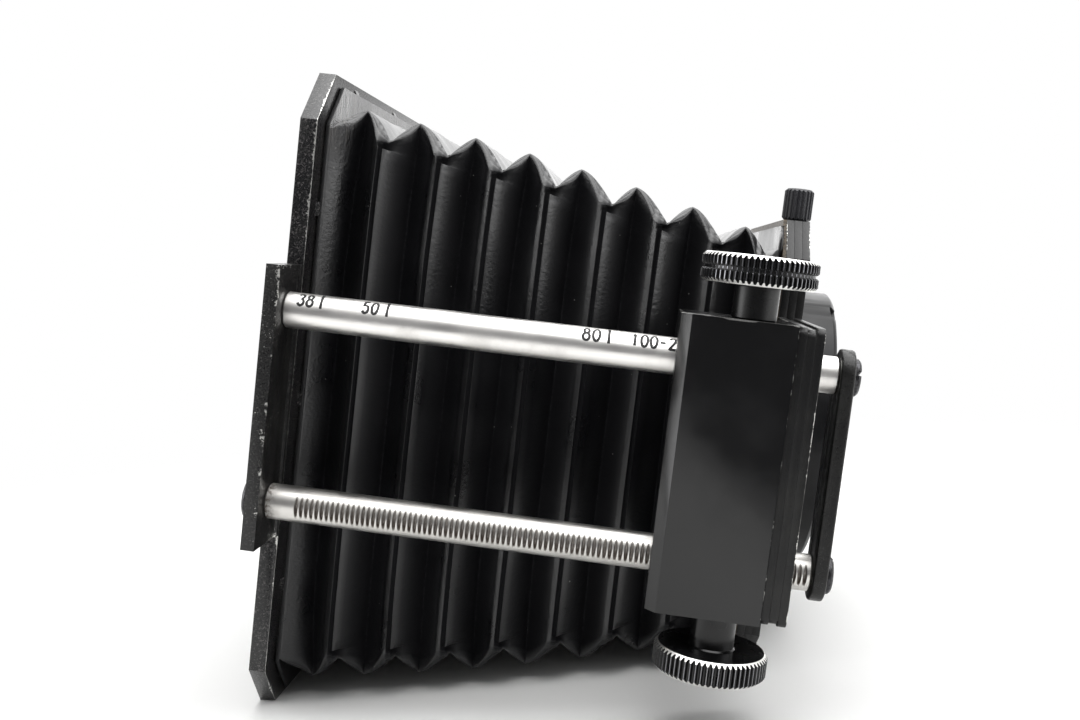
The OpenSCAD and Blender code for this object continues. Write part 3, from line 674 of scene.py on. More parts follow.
@dataclass(frozen=True)
class Anodised(Finish):
    """Black anodised aluminium: a hard satin skin with faint tool lines, a few dust specks and rubs."""

    stretch: tuple[float, float, float] = (1.0, 1.0, 0.05)
    rubbed: str = "#121213"
    dust: str = "#77767a"
    bare: str = "#d9d8d4"
    wear: EdgeWear | None = None

    def pattern(self, tree: Tree, shader: bpy.types.Node, place: Socket) -> None:
        """Adds tool lines, rubs, specks and worn edges.

        Args:
            tree: The material's node tree.
            shader: The Principled shader.
            place: Object coordinates in millimetres.
        """
        drawn = add(tree, "VectorMath", {0: place, 1: self.stretch}, operation="MULTIPLY")
        lines = add(tree, "TexNoise", {"Vector": drawn, "Scale": 6.0, "Detail": 2.0})
        bump = add(tree, "Bump", {"Height": lines, "Strength": 1.0, "Distance": 0.004 * MM})
        cloud = add(tree, "TexNoise", {"Vector": place, "Scale": 0.14, "Detail": 4.0})
        rubs = add(tree, "MapRange", {0: cloud, 1: 0.45, 2: 0.75, 4: 0.6}, **EASED)
        colour = add(tree, "Mix", {0: rubs, 6: srgb(self.colour), 7: srgb(self.rubbed)}, **COLOURS)
        specks = add(tree, "TexNoise", {"Vector": place, "Scale": 1.1, "Detail": 6.0, "Roughness": 0.75})
        specks = add(tree, "MapRange", {0: specks, 1: 0.735, 2: 0.76, 4: 0.7}, **EASED)
        colour = add(tree, "Mix", {0: specks, 6: colour, 7: srgb(self.dust)}, **COLOURS)
        rough = add(tree, "MapRange", {0: cloud, 1: 0.3, 2: 0.7, 3: self.roughness - 0.04,
                                       4: self.roughness + 0.06}, **EASED)
        if self.wear:
            runs = add(tree, "TexNoise", {"Vector": place, "Scale": 0.22, "Detail": 3.0})
            runs = add(tree, "MapRange", {0: runs, 1: 0.42, 2: 0.6, 3: 0.02, 4: 0.28}, **EASED)
            past = add(tree, "Math", {0: self.wear.distance(tree, place), 1: runs}, operation="SUBTRACT")
            bare = add(tree, "MapRange", {0: past, 1: 0.03, 2: -0.03}, **EASED)
            colour = add(tree, "Mix", {0: bare, 6: colour, 7: srgb(self.bare)}, **COLOURS)
            feed(tree, shader, Metallic=bare)
        feed(tree, shader, Base_Color=colour, Roughness=rough, Normal=bump)


@dataclass(frozen=True)
class Speckled(Finish):
    """A plain finish with a fine mottle, for screws, bushes, springs and brass."""

    other: str = "#3a3a3a"
    grain: float = 0.7
    depth: float = 0.01

    def pattern(self, tree: Tree, shader: bpy.types.Node, place: Socket) -> None:
        """Adds a mottle of two colours and a faint unevenness.

        Args:
            tree: The material's node tree.
            shader: The Principled shader.
            place: Object coordinates in millimetres.
        """
        spots = add(tree, "TexNoise", {"Vector": place, "Scale": 1 / self.grain, "Detail": 5.0,
                                       "Roughness": 0.65})
        bump = add(tree, "Bump", {"Height": spots, "Strength": 1.0, "Distance": self.depth * MM})
        rough = add(tree, "MapRange", {0: spots, 1: 0.3, 2: 0.7, 3: self.roughness - 0.06,
                                       4: self.roughness + 0.08}, **EASED)
        mottle = add(tree, "MapRange", {0: spots, 1: 0.4, 2: 0.65}, **EASED)
        colour = add(tree, "Mix", {0: mottle, 6: srgb(self.colour), 7: srgb(self.other)}, **COLOURS)
        feed(tree, shader, Base_Color=colour, Roughness=rough, Normal=bump)


# This hood's finishes

X = (1.0, 0.0, 0.0)
Y = (0.0, 1.0, 0.0)
Z = (0.0, 0.0, 1.0)
CORNER = (0.0, math.sqrt(0.5), math.sqrt(0.5))
BEVEL = (math.sqrt(0.5), math.sqrt(0.5), 0.0)
SQUARE_EDGES = EdgeWear(ends=((X, -103.9),), outline=((Y, 61.5), (CORNER, 80.26)))
BRACKET_EDGES = EdgeWear(ends=((X, -104.4),), outline=((Y, 74.0), (Z, 25.5)))
BLOCK_EDGES = EdgeWear(ends=((Z, 25.6),), outline=((X, 34.9), (Y, 77.0), (BEVEL, 77.85)))
EAR_EDGES = EdgeWear(ends=((X, -15.4), (X, -10.9)), outline=((Y, 44.5), (Z, 44.5), (CORNER, 57.63)),
                     ear_y=-43.9, ear=((Y, 76.5), (Z, 25.5)))

# Leatherette glued over card, in and out: painted sheen on the folds, painted shade in the valleys.
LEATHERETTE = Leatherette("leatherette_satin_black", "#0e0e10", 0.3)
# Woven lining: no gloss at all, so the inside stays dark.
LINING = Cloth("lining_cloth_black", "#101011", 0.85)
# Sprayed wrinkle paint, worn through: specks of dust and painted glint, thin bright lines on the corners.
FRAME_PAINT = WornPaint("wrinkle_paint_black_front_frame", "#0b0b0d", 0.3, wear=SQUARE_EDGES, dust_and_glint=0.35,
                        line=0.17)
BRACKET_PAINT = WornPaint("wrinkle_paint_black_bracket", "#0f0f0f", 0.34, wear=BRACKET_EDGES, line=0.1,
                          ragged=0.7, fleck=1.0, dust_and_glint=0.2)
# Sprayed satin paint, smoother than the wrinkle paint: an even sheen, and a weak one.
STRAP_PAINT = WornPaint("satin_paint_black_strap", "#090808", 0.34, ior=1.4, cell=0.6, depth=0.02, fleck=0.4)
PLATE_PAINT = WornPaint("matte_paint_black_plates", "#0c0c0d", 0.34, ior=1.4, wear=EAR_EDGES, line=0.08,
                        ragged=0.12, cell=0.35, depth=0.02)
# Milled or turned and then black anodised: hard satin skin that shows its surroundings dimly.
BLOCK = Anodised("anodised_aluminium_black_block", "#060607", 0.2, wear=BLOCK_EDGES)
KNOB = Anodised("anodised_aluminium_black_knobs", "#09090a", 0.26, ior=1.42)
RING = Anodised("anodised_aluminium_black_ring", "#08080a", 0.32, ior=1.3, stretch=(6.0, 0.1, 0.1))
THUMB = Anodised("anodised_aluminium_black_thumb_screw", "#1e1e23", 0.42)
# Aluminium turned after anodising: white rims, and crests that fingers have rubbed half bare.
BRIGHT_RIM = TurnedMetal("turned_aluminium_bright_rim", "#f0efec", 0.3, 1.0, stretch=(1.0, 1.0, 1.0))
CREST = TurnedMetal("anodised_aluminium_worn_crests", "#7c7c80", 0.25, 1.0, stretch=(1.0, 1.0, 0.2))
# Ground steel bar: a satin mirror with lines along it.
RAIL = TurnedMetal("ground_steel_satin_rail", "#eceae7", 0.34, 1.0, dirt=0.2)
RACK = RackSteel("ground_steel_satin_rack", "#d2d0cc", 0.34, 1.0, dirt=0.2)
# Turned steel, darker than the ground bars.
SHAFT = TurnedMetal("turned_steel", "#b5b4b1", 0.3, 1.0, stretch=(0.2, 0.2, 4.0))
# Paint wiped into the engraving: flat black.
ENGRAVING = Speckled("engraving_fill_black", "#0a0a0b", 0.6, other="#131314")
# Chemically blackened steel: dark metal with a dull mottle.
SCREW = Speckled("blackened_steel_screw", "#454547", 0.36, 1.0, other="#2b2a2b", grain=0.5)
# Brass strip under old lacquer and dirt: brown, hardly metallic.
BRASS = Speckled("brass_tarnished", "#3f3321", 0.55, 0.35, other="#100e0b", grain=0.35)
# Turned brass inside the block, clean and yellow.
BUSHING = Speckled("brass_turned", "#a58646", 0.4, 1.0, other="#6b5430", grain=0.9)
# Moulded acetal: dense plastic with a waxy gloss.
BUSH = Speckled("acetal_black_bush", "#1d1d1c", 0.5, other="#292927")
PAD = Speckled("acetal_white_pad", "#d9d6cc", 0.45, other="#cfcabd")


# Bellows

@dataclass
class Bellows:
    """The pleated square skin between the front frame and the rear plate, in millimetres.

    The top and bottom fold out where the two sides fold in. So a ridge of the top runs out into a peak
    over a side's valley, and a ridge of a side, which is a flat hinge between two stiffened panels, ends
    in a knot under the top's valley. Narrow leaves join the panels along the corners.
    """

    # Both ends. Of two half sizes the first is the sides' and the second the top's. The cuts are the widths
    # of the leaves that cross the flange's and the collar's corners.
    front_x: float = -103.0
    rear_x: float = -16.8
    plate_x: float = -16.2
    wall: float = 0.6
    flange: tuple[float, float] = (56.4, 59.6)
    flange_cut: float = 8.0
    front_root: tuple[float, float] = (55.9, 51.2)
    root_gap: float = 0.05
    rear_root: tuple[float, float] = (41.9, 38.4)
    rear_half: float = 43.0
    rear_cut: float = 2.5

    # The half size over the ridges, and how deep the valleys are at the corner and half way up.
    first_half: float = 55.6
    last_half: float = 42.25
    bow: float = 1.25
    depth: tuple[float, float] = (5.0, 4.5)

    # The folds along the axis: each valley, how far its middle leans, each knot, and how far from the knot
    # the hinge lies at the corner and half way up.
    valleys: tuple[float, ...] = (-97.6, -87.5, -76.8, -66.35, -56.2, -45.4, -34.05, -23.2)
    valley_lean: tuple[float, ...] = (-1.3, -0.5, -0.8, -0.95, -0.7, -0.4, -0.4, -0.2)
    knots: tuple[float, ...] = (-91.8, -80.9, -70.5, -60.3, -49.4, -38.6, -27.6, -18.2)
    hinge_corner: tuple[float, ...] = (-1.6, -1.35, -1.4, -1.45, -1.4, -1.4, -1.4, -1.1)
    hinge_middle: tuple[float, ...] = (-2.1, -2.1, -2.0, -1.75, -1.7, -1.6, -1.5, -1.2)

    # A hinge in section: place beside its middle, drop below the ridge, share of the groove's depth. The
    # groove has its depth at the corner and half way up, and closes towards the corner: groove_end says by
    # how much at a share of its half width, groove_fade from where to where. fall and rise_power shape the
    # panels behind and before a hinge.
    hinge: tuple[tuple[float, float, float], ...] = (
        (-1.3, 0.53, 0.0), (-0.8, 0.21, 0.0), (-0.51, 0.03, 0.0), (-0.36, 0.0, 0.6), (0.0, 0.0, 1.0),
        (0.4, 0.0, 0.6), (0.51, 0.03, 0.0), (0.62, 0.1, 0.0), (0.63, 0.11, 0.0))
    hinge_half: float = 0.5
    groove: tuple[float, float] = (0.5, 0.28)
    groove_end: tuple[tuple[float, float], ...] = ((0.0, 1.0), (0.75, 0.6), (1.0, 0.0))
    groove_fade: tuple[float, float] = (0.2, 0.6)
    fall: tuple[float, float] = (0.78, 0.22)
    rise_power: float = 1.2

    # The corners: the leaves' widths, bulge and dip, the small cuts at peaks and knots, how deep the skin
    # is pinched in and where, and the stiff cards inside the panels, which end short of the corners.
    peak_round: float = 0.75
    leaf: tuple[float, float] = (1.9, 1.35)
    leaf_power: float = 1.35
    leaf_bulge: float = 0.1
    leaf_crease: tuple[float, float] = (0.05, 0.07)
    drop_power: float = 1.5
    drop_gap: float = 2.45
    tip: float = 0.3
    knot_cut: float = 0.2
    pinch: float = 1.2
    pinch_rise: tuple[float, float] = (0.3, 0.5)
    pinch_power: float = 1.5
    pinch_full: tuple[float, float] = (0.12, 0.5)
    card_inset: float = 6.5
    card_slant: float = 0.11
    card_slant_end: float = 4.0
    card_gap: float = 0.25
    corner_inset: float = 3.0
    top_inset: float = 8.4

    # Unevenness: its height, the shift from side to side, and of each wave its share, its turns across and
    # along in radians per millimetre, and its share of the shift. It fades out near both ends.
    ripple_height: float = 0.07
    side_phase: float = 1.7
    waves: tuple[tuple[float, float, float, float], ...] = (
        (1.0, 0.21, 0.35, 1.0), (0.6, 0.47, -0.23, 2.1), (0.5, 0.93, 0.61, 0.7))
    ripple_ends: tuple[float, float] = (4.0, 3.0)

    # Gloss, painted through the specular level: how far the crease of a valley shows, and how the painted
    # sheen fades behind and before a hinge and behind the flange: where the fading starts and how far it
    # reaches. Then places beside a hinge with how much painted highlight its lips get, below 0 where shade is
    # painted in the groove, and with how much painted shade its ledge gets at the corner. The next two
    # numbers set the painted shade in the pinch.
    crease_half: float = 0.16
    fade_behind: tuple[float, float] = (0.4, 1.6)
    fade_before: tuple[float, float] = (1.1, 0.7)
    fade_flange: tuple[float, float] = (2.2, 3.0)
    lips: tuple[tuple[float, float], ...] = (
        (-1.4, 0.0), (-1.25, 4.0), (-0.6, 4.0), (-0.48, -1.0), (0.42, -1.0), (0.6, 0.9), (1.6, 0.0))
    ledge_shade: tuple[tuple[float, float], ...] = ((-0.7, 0.0), (-0.3, 0.9), (1.2, 0.9), (1.6, 0.0))
    pinch_shade_gain: float = 1.6
    pinch_shade_span: tuple[float, float] = (0.06, 0.9)
    panel_end: float = 3.0

    # The mesh: rows between two folds, columns over the stiff middle and how far they crowd to its ends,
    # the columns from there to the corner, and those across a leaf.
    smooth: float = 70.0
    steps: int = 12
    columns: int = 33
    crowd: float = 0.4
    side_shares: tuple[float, ...] = (0.05, 0.12, 0.22, 0.4, 0.6, 0.8, 0.93, 1.0)
    top_shares: tuple[float, ...] = (0.3, 0.6, 0.85, 1.0)
    leaf_shares: tuple[float, ...] = (0.07, 0.26, 0.42, 0.5, 0.58, 0.76, 0.93)

    def ridge(self, x: float | np.ndarray) -> float | np.ndarray:
        """Half size over the ridges: a straight taper plus a parabola that bows it out half way."""
        u = (x - self.valleys[0]) / (self.valleys[-1] - self.valleys[0])
        return self.first_half + (self.last_half - self.first_half) * u + 4 * self.bow * u * (1 - u)

    def hinges(self) -> np.ndarray:
        """Place of every hinge at the corner."""
        return np.array(self.knots) + np.array(self.hinge_corner)

    def rows(self) -> np.ndarray:
        """Works out the profile, row by row from the front.

        Between two folds the place along the axis runs evenly with s. Behind a hinge the side falls with
        0.78 s + 0.22 s^2, and in front of the next one it comes back with s^1.2. s itself is (1 - cos t) / 2
        with t spaced evenly, so the rows crowd beside the folds. The hinge is a groove between a rounded
        left shoulder and a sharp right one.

        Returns:
            One line per row: place at the corner and half way up, and the side's distance from the axis at
            both.
        """
        table: list[Row] = []
        s = (1 - np.cos(np.linspace(0, math.pi, self.steps + 1)[1:-1])) / 2
        falling = self.fall[0] * s + self.fall[1] * s * s
        rising = s ** self.rise_power

        def flank(start: Row, stop: Row, share: np.ndarray) -> None:
            """Adds the rows between two folds.

            Args:
                start: The row at the fold in front.
                stop: The row at the fold behind.
                share: How far the side's distance has changed from one to the other, per new row.
            """
            shares = np.stack([s, s, share, share], axis=-1)
            table.extend(map(tuple, np.array(start) + (np.array(stop) - np.array(start)) * shares))

        root = (self.front_x, self.front_x, self.front_root[0], self.front_root[0])
        table += [(self.front_x, self.front_x, self.flange[0], self.flange[0]), root]
        previous = (root[0] + self.root_gap, root[1] + self.root_gap, *root[2:])
        for k, (valley, knot) in enumerate(zip(self.valleys, self.knots)):
            out = self.ridge(valley)
            low = (valley, valley + self.valley_lean[k], out - self.depth[0], out - self.depth[1])
            flank(previous, low, falling)
            table.append(low)
            out = self.ridge(knot)
            places = (knot + self.hinge_corner[k], knot + self.hinge_middle[k])
            fold = [(places[0] + beside, places[1] + beside, out - drop - share * self.groove[0],
                     out - drop - share * self.groove[1]) for beside, drop, share in self.hinge]
            flank(low, fold[0], rising)
            table += fold[:-1]
            previous = fold[-1]
        end = (self.rear_x, self.rear_x, self.rear_root[0], self.rear_root[0])
        flank(previous, end, falling)
        table += [end, (self.rear_x, self.rear_x, self.rear_half, self.rear_half),
                  (self.plate_x, self.plate_x, self.rear_half, self.rear_half)]
        return np.array(table)

    def corner(self, x: np.ndarray) -> tuple[np.ndarray, np.ndarray, np.ndarray, np.ndarray]:
        """Works out the top's profile and the leaf that joins it to the side.

        Between a knot and the next peak the top rises as a sine blended with a straight line, and behind
        the peak it falls as the same blend the other way round, so the peak is slightly rounded. The left
        leaf is a crescent, as wide as a sine of u^1.35. The right one grows as the side's upper end drops
        with f^1.5 from the peak to the hinge's left shoulder. The flange and the plate's collar have their
        own cut at the rows' two ends.

        Args:
            x: Place of every row at the corner.

        Returns:
            Per row the top's distance from the axis, the corner cut, the card's inset from the ridge and
            how deep the skin is pinched in beside the corner.
        """
        breaks = np.array([self.front_x, *np.stack([self.valleys, self.knots], 1).ravel(), self.rear_x])
        level = self.ridge(breaks)
        level[2:-1:2] -= self.depth[0]
        level[[0, -1]] = self.front_root[1], self.rear_root[1]
        k = np.clip(np.searchsorted(breaks, x, side="right") - 1, 0, len(breaks) - 2)
        start, stop = breaks[k], breaks[k + 1]
        u = part_way(x, start, stop)
        up = k % 2 == 0
        straight = 1 - self.peak_round
        share = np.where(up, self.peak_round * np.sin(u * math.pi / 2) + straight * u,
                         1 - self.peak_round * np.cos(u * math.pi / 2) - straight * (1 - u))
        top = level[k] + (level[k + 1] - level[k]) * share

        crescent = np.where(k == 0, *self.leaf) * np.sin(math.pi * u ** self.leaf_power)
        f = part_way(x, start, stop - self.drop_gap)
        first, last = level[k] - self.tip, level[k + 1] - self.knot_cut
        side_end = first + (last - first) * f ** self.drop_power
        cut = np.where(up, self.knot_cut + (self.tip - self.knot_cut) * u + crescent, top - side_end)
        cut[[0, -2, -1]] = self.flange_cut, self.rear_cut, self.rear_cut
        top[[0, -2, -1]] = self.flange[1], self.rear_half, self.rear_half

        hinges = self.hinges()
        j = np.clip(np.searchsorted(hinges, x, side="right") - 1, 0, len(hinges) - 1)
        behind = x - hinges[j]
        w = behind / (np.append(self.valleys[1:], self.rear_x)[j] - hinges[j])
        card = self.card_inset + self.card_slant * np.clip(behind, 0.0, self.card_slant_end)
        ease = part_way(behind, *self.pinch_rise) * np.clip(1 - w, 0, 1) ** self.pinch_power
        return top, cut, card, np.where((w > 0) & (w < 1), self.pinch * ease, 0.0)

    def across(self, limit: np.ndarray, edge: np.ndarray,
               shares: Sequence[float]) -> tuple[np.ndarray, np.ndarray]:
        """Spreads columns across a side: over the stiff middle, then out to the corner.

        Over the middle they crowd a little towards its ends, as 0.6 u + 0.4 sin(u * 90 degrees) with u
        spaced evenly from -1 to 1.

        Args:
            limit: Where the stiff middle ends, per row.
            edge: Where the side ends, per row.
            shares: Places of the outer columns between the two.

        Returns:
            Each column's place, and its share of the way from the middle's end to the corner.
        """
        u = np.linspace(-1, 1, self.columns)
        u = (1 - self.crowd) * u + self.crowd * np.sin(u * math.pi / 2)
        outer = limit[:, None] + (edge - limit)[:, None] * np.array(shares)[None]
        place = np.hstack([-outer[:, ::-1], u[None] * limit[:, None], outer])
        v = np.concatenate([shares[::-1], 0 * u, shares])[None] + 0 * place
        return place, v

    def ripple(self, x: np.ndarray, a: np.ndarray, v: np.ndarray, side: Side) -> np.ndarray:
        """Works out the slight unevenness of the hand-folded skin, a sum of slow sines of both coordinates.

        Args:
            x: Place along the axis.
            a: Place across the side.
            v: Share of the way from the stiff middle to the corner.
            side: The side, which shifts the waves.

        Returns:
            The offset outwards, which fades to 0 at both ends of the skin and at the corners.
        """
        phase = side * self.side_phase
        total = sum(high * np.sin(per_a * a + per_x * x + shift * phase)
                    for high, per_a, per_x, shift in self.waves)
        front, rear = self.ripple_ends
        ends = part_way(x, self.front_x, self.front_x + front) * part_way(x, self.rear_x, self.rear_x - rear)
        return self.ripple_height * total * ends * (1 - v)

    def painted_shading(self, x: np.ndarray, off: np.ndarray, v: np.ndarray, pinch: np.ndarray) -> np.ndarray:
        """Works out how much shade is painted on an upright side, through its specular level.

        The painted sheen is 1 beside a hinge and fades with e^-(distance / reach) on both sides of it. The
        lips get more painted highlight; the groove, the ledge at the corner and the pinch get painted shade.

        Args:
            x: Place of every row at the corner.
            off: Distance of every row from the nearest hinge, below 0 in front of it.
            v: Share of the way from the stiff middle to the corner, per point.
            pinch: How deep every row is pinched in.

        Returns:
            Per point 0 where a highlight is painted, as on a hinge's lips, to 1 where shade is painted, down
            in a valley.
        """
        behind, before, flange = self.fade_behind, self.fade_before, self.fade_flange
        shine = np.where(off > 0, np.exp(-np.maximum(off - behind[0], 0) / behind[1]),
                         np.exp(np.minimum(off + before[0], 0) / before[1]))
        on_flange = np.exp(-np.maximum(x - self.front_x - flange[0], 0) / flange[1])
        shine = np.where(x < self.valleys[0], on_flange, shine)
        # Painted light: highlights on the lips, shade in the groove, and painted shade on the ledge and in
        # the pinch below.
        lips = np.interp(off, *zip(*self.lips))
        ledge_shade = np.interp(off, *zip(*self.ledge_shade))[:, None]
        pinched = np.clip(pinch / self.pinch * self.pinch_shade_gain, 0, 1)[:, None]
        slack = pinched * part_way(v, 0.0, self.pinch_shade_span[0]) * part_way(v, 1.0, self.pinch_shade_span[1])
        panel = (1 - shine - lips)[:, None] * np.clip((1 - v) * self.panel_end, 0, 1)
        return np.maximum(panel, np.maximum(slack, ledge_shade * v))

    def upright_side(self, table: np.ndarray, side: Side) -> tuple[np.ndarray, np.ndarray, np.ndarray]:
        """Places the near or far side.

        With the fourth power of the height the profile half way up goes over into the one at the corner.
        The skin is pinched in between the card's end and the corner; the bump is 0 at both and rises fast
        beside the card. The groove of a hinge closes towards the corner.

        Args:
            table: The profile rows.
            side: The near or the far side.

        Returns:
            Points as x, distance from the axis and place across, then how strong the crease is, from 0 to
            1, and how much shade is painted on the skin, from 0 where a highlight is painted to 1 down in a
            valley.
        """
        xc, xm, nc, nm = table.T
        top, cut, card, pinch = self.corner(xc)
        limit = np.minimum(self.ridge(xc) - card, top - cut - self.card_gap)
        z, v = self.across(limit, top - cut, self.side_shares)
        height = np.clip(np.abs(z) / (self.ridge(xc) - self.corner_inset)[:, None], 0, 1)
        middle = 1 - height ** 4
        x = xc[:, None] + (xm - xc)[:, None] * middle
        n = nc[:, None] + (nm - nc)[:, None] * middle
        bump = part_way(v, 0.0, self.pinch_full[0]) * part_way(v, 1.0, self.pinch_full[1])
        n = n - pinch[:, None] * bump + self.ripple(x, z, v, side)

        near = np.min(np.abs(xc[:, None] - np.array(self.valleys)[None]), axis=1)
        crease = np.exp(-(near / self.crease_half) ** 2)[:, None] * (1 - v)
        off = xc[:, None] - self.hinges()[None]
        off = off[np.arange(len(off)), np.argmin(np.abs(off), axis=1)]
        shut = np.interp(np.abs(off) / self.hinge_half, *zip(*self.groove_end)) * self.groove[0]
        n = n + shut[:, None] * part_way(v, *self.groove_fade) * (1 - middle)
        return np.stack([x, n, z], -1), crease, self.painted_shading(xc, off, v, pinch)

    def level_side(self, table: np.ndarray, side: Side) -> tuple[np.ndarray, np.ndarray, np.ndarray]:
        """Places the top or bottom.

        Args:
            table: The profile rows.
            side: The top or the bottom.

        Returns:
            Points as x, distance from the axis and place across, then 0 for the crease and for the painted
            shade.
        """
        xc, nc = table[:, 0], table[:, 2]
        top, cut, _, _ = self.corner(xc)
        y, v = self.across(self.ridge(xc) - self.top_inset, nc - cut, self.top_shares)
        x = xc[:, None] + 0 * y
        return np.stack([x, top[:, None] + self.ripple(x, y, v, side), y], -1), 0 * y, 0 * y

    def build(self) -> None:
        """Carries the pleat profile round the four sides and gives the skin its wall.

        Each leaf between two sides bulges as a sine of its width, with a sharp dip along its middle.
        """
        table = self.rows()
        sides = [self.upright_side(table, Side.NEAR), self.level_side(table, Side.TOP),
                 self.upright_side(table, Side.FAR), self.level_side(table, Side.BOTTOM)]
        placed = [on_side(side, *np.moveaxis(points, -1, 0)) for side, (points, _, _) in zip(Side, sides)]
        columns, creases, painted_shades = [], [], []
        dip, dip_width = self.leaf_crease
        for side, (_, crease, painted_shade) in zip(Side, sides):
            following = (side + 1) % len(Side)
            columns.append(placed[side])
            creases.append(crease)
            painted_shades.append(painted_shade)
            start, stop = placed[side][:, -1], placed[following][:, 0]
            width = np.linalg.norm(stop - start, axis=-1, keepdims=True)
            reach = np.where(width < self.flange_cut, width, 0.0)
            for w in self.leaf_shares:
                point = start * (1 - w) + stop * w
                radial = point * np.array([0, 1, 1])
                radial = radial / np.linalg.norm(radial, axis=-1, keepdims=True)
                bulge = self.leaf_bulge * math.sin(math.pi * w)
                bulge -= dip * math.exp(-((w - 0.5) / dip_width) ** 2)
                columns.append((point + radial * reach * bulge)[:, None])
                creases.append(0 * width)
                painted_shades.append(painted_shade[:, -1:] * (1 - w) + sides[following][2][:, :1] * w)
        points, crease, painted_shade = (np.concatenate(part, axis=1) for part in (columns, creases, painted_shades))
        piece = make_piece("bellows_skin", points, grid_faces(*points.shape[:2], wrap_columns=True),
                           [LEATHERETTE, LINING], smooth=self.smooth, fields={"fold": crease, "painted_shade": painted_shade})
        wall = piece.modifiers.new("wall", "SOLIDIFY")
        wall.thickness = self.wall * MM
        wall.offset = -1.0
        wall.material_offset = 1
        wall.material_offset_rim = 1
        finished = bpy.data.meshes.new_from_object(piece.evaluated_get(bpy.context.evaluated_depsgraph_get()))
        piece.modifiers.clear()
        piece.data = finished
        self.stretch_with_frame(piece)
        log.info("%s has %d faces", piece.name, len(finished.polygons))

    def stretch_with_frame(self, piece: bpy.types.Object) -> None:
        """Lets every pleat open and close alike as the front frame slides.

        The weight of a point between the plate and the frame is its share of the way, so a slide moves
        it by that share.

        Args:
            piece: The skin.
        """
        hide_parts("bellows")
        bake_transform(piece, Body.REAR.value, Body.FRONT.value, start=(self.plate_x * MM, 0, 0),
                 end=(self.front_x * MM, 0, 0))
        mesh = piece.data
        place = np.empty(len(mesh.vertices) * 3, dtype=np.float32)
        mesh.vertices.foreach_get("co", place)
        share = (place[0::3] / MM - self.plate_x) / (self.front_x - self.plate_x)
        mesh.attributes["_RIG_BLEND"].data.foreach_set("value", np.clip(share, 0, 1).astype(np.float32))


# Rails

@dataclass
class Rails:
    """The two round rails, in millimetres: the upper one with the scale, the lower one with the rack."""

    radius: float = 3.25
    y: float = -67.5
    z: float = 17.5
    start: float = -104.4
    end: float = -6.85
    chamfer: float = 0.3
    pitch: float = 0.3 * math.pi
    first_gap: float = -98.5
    gaps: int = 97
    line: float = 2.95
    root: float = 2.575
    flank: float = 20.0
    slack: float = 0.05
    columns: int = 96
    cut_columns: int = 33
    back_columns: int = 49

    def wrapped(self, x: np.ndarray, angle: np.ndarray, radius: np.ndarray, z: float) -> np.ndarray:
        """Puts points round a rail: angle 0 faces the near side, a quarter turn faces up."""
        return np.stack([x, self.y - radius * np.cos(angle), z + radius * np.sin(angle)], axis=-1)

    def caps(self, turn: np.ndarray) -> tuple[np.ndarray, np.ndarray]:
        """Works out the rows of both chamfered ends.

        Args:
            turn: The angle of every column.

        Returns:
            For the front and the rear end three rows, each as places along the rail and radii.
        """
        inner = self.radius - self.chamfer
        front = [(self.start, 0.0), (self.start, inner), (self.start + self.chamfer, self.radius)]
        rear = [(self.end - self.chamfer, self.radius), (self.end, inner), (self.end, 0.0)]
        return tuple(np.array(rows).T[..., None] + 0 * turn for rows in (front, rear))

    def bar(self) -> bpy.types.Object:
        """Builds the plain rail: its outline turned round the rail's axis.

        Returns:
            The upper rail.
        """
        turn = np.linspace(0, 2 * math.pi, self.columns, endpoint=False)
        x, radius = np.concatenate(self.caps(turn), axis=1)
        points = self.wrapped(x, turn + 0 * x, radius, self.z)
        faces = grid_faces(len(x), self.columns, wrap_columns=True)[:, ::-1]
        return make_piece("scale_rail_bar", points, faces, [RAIL], weld=True)

    def rack(self) -> bpy.types.Object:
        """Builds the rail with its rack.

        A gap is a trapezoid cut straight across the near side. At an angle a from the near side the bar's
        surface lies radius * cos(a) in front of the axis, so there the mouth is as wide as the trapezoid at
        that height, and its floor lies root / cos(a) from the axis, but never outside the bar.

        Returns:
            The lower rail.
        """
        limit = math.acos(self.root / self.radius)
        cut = np.linspace(-limit, limit, self.cut_columns)
        turn = np.concatenate([cut, np.linspace(limit, 2 * math.pi - limit, self.back_columns)[1:-1]])
        front = self.radius * np.cos(turn)
        slope = math.tan(math.radians(self.flank))
        tooth = self.pitch / 2 - self.slack
        floor = (self.pitch - tooth) / 2 + (self.root - self.line) * slope + 0 * turn
        mouth = floor + np.maximum(front - self.root, 0) * slope
        deep = self.root * self.radius / np.maximum(front, self.root)
        inner = np.where(front > self.root, deep, self.radius)
        flat = np.full_like(turn, self.radius)
        centre = self.first_gap + self.pitch * np.arange(self.gaps)
        x = (centre[:, None, None] + np.stack([-mouth, -floor, floor, mouth])[None]).reshape(-1, len(turn))
        radius = np.tile(np.stack([flat, inner, inner, flat]), (self.gaps, 1))
        keep = x.max(axis=1) < self.end - self.chamfer
        ahead, rear = self.caps(turn)
        x, radius = np.concatenate([ahead, np.stack([x[keep], radius[keep]]), rear], axis=1)
        points = self.wrapped(x, turn + 0 * x, radius, -self.z)
        faces = grid_faces(len(x), len(turn), wrap_columns=True)[:, ::-1]
        return make_piece("rack_rail_bar", points, faces, [RACK], smooth=25.0, weld=True)

    def build(self) -> None:
        """Builds both rails and the scale."""
        settle(self.bar(), Body.FRONT, "scale_rail")
        settle(self.rack(), Body.FRONT, "rack_rail")
        settle(Scale(self).build(), Body.FRONT)


def arc(centre: tuple[float, float], reach: tuple[float, float], points: int) -> list[tuple[float, float]]:
    """Draws the closed ellipse of a figure.

    Args:
        centre: Its centre.
        reach: Its half width and half height.
        points: How many points it has.

    Returns:
        The points, the last one on the first.
    """
    return [(centre[0] + reach[0] * math.cos(a), centre[1] + reach[1] * math.sin(a))
            for a in np.linspace(0, 2 * math.pi, points)]


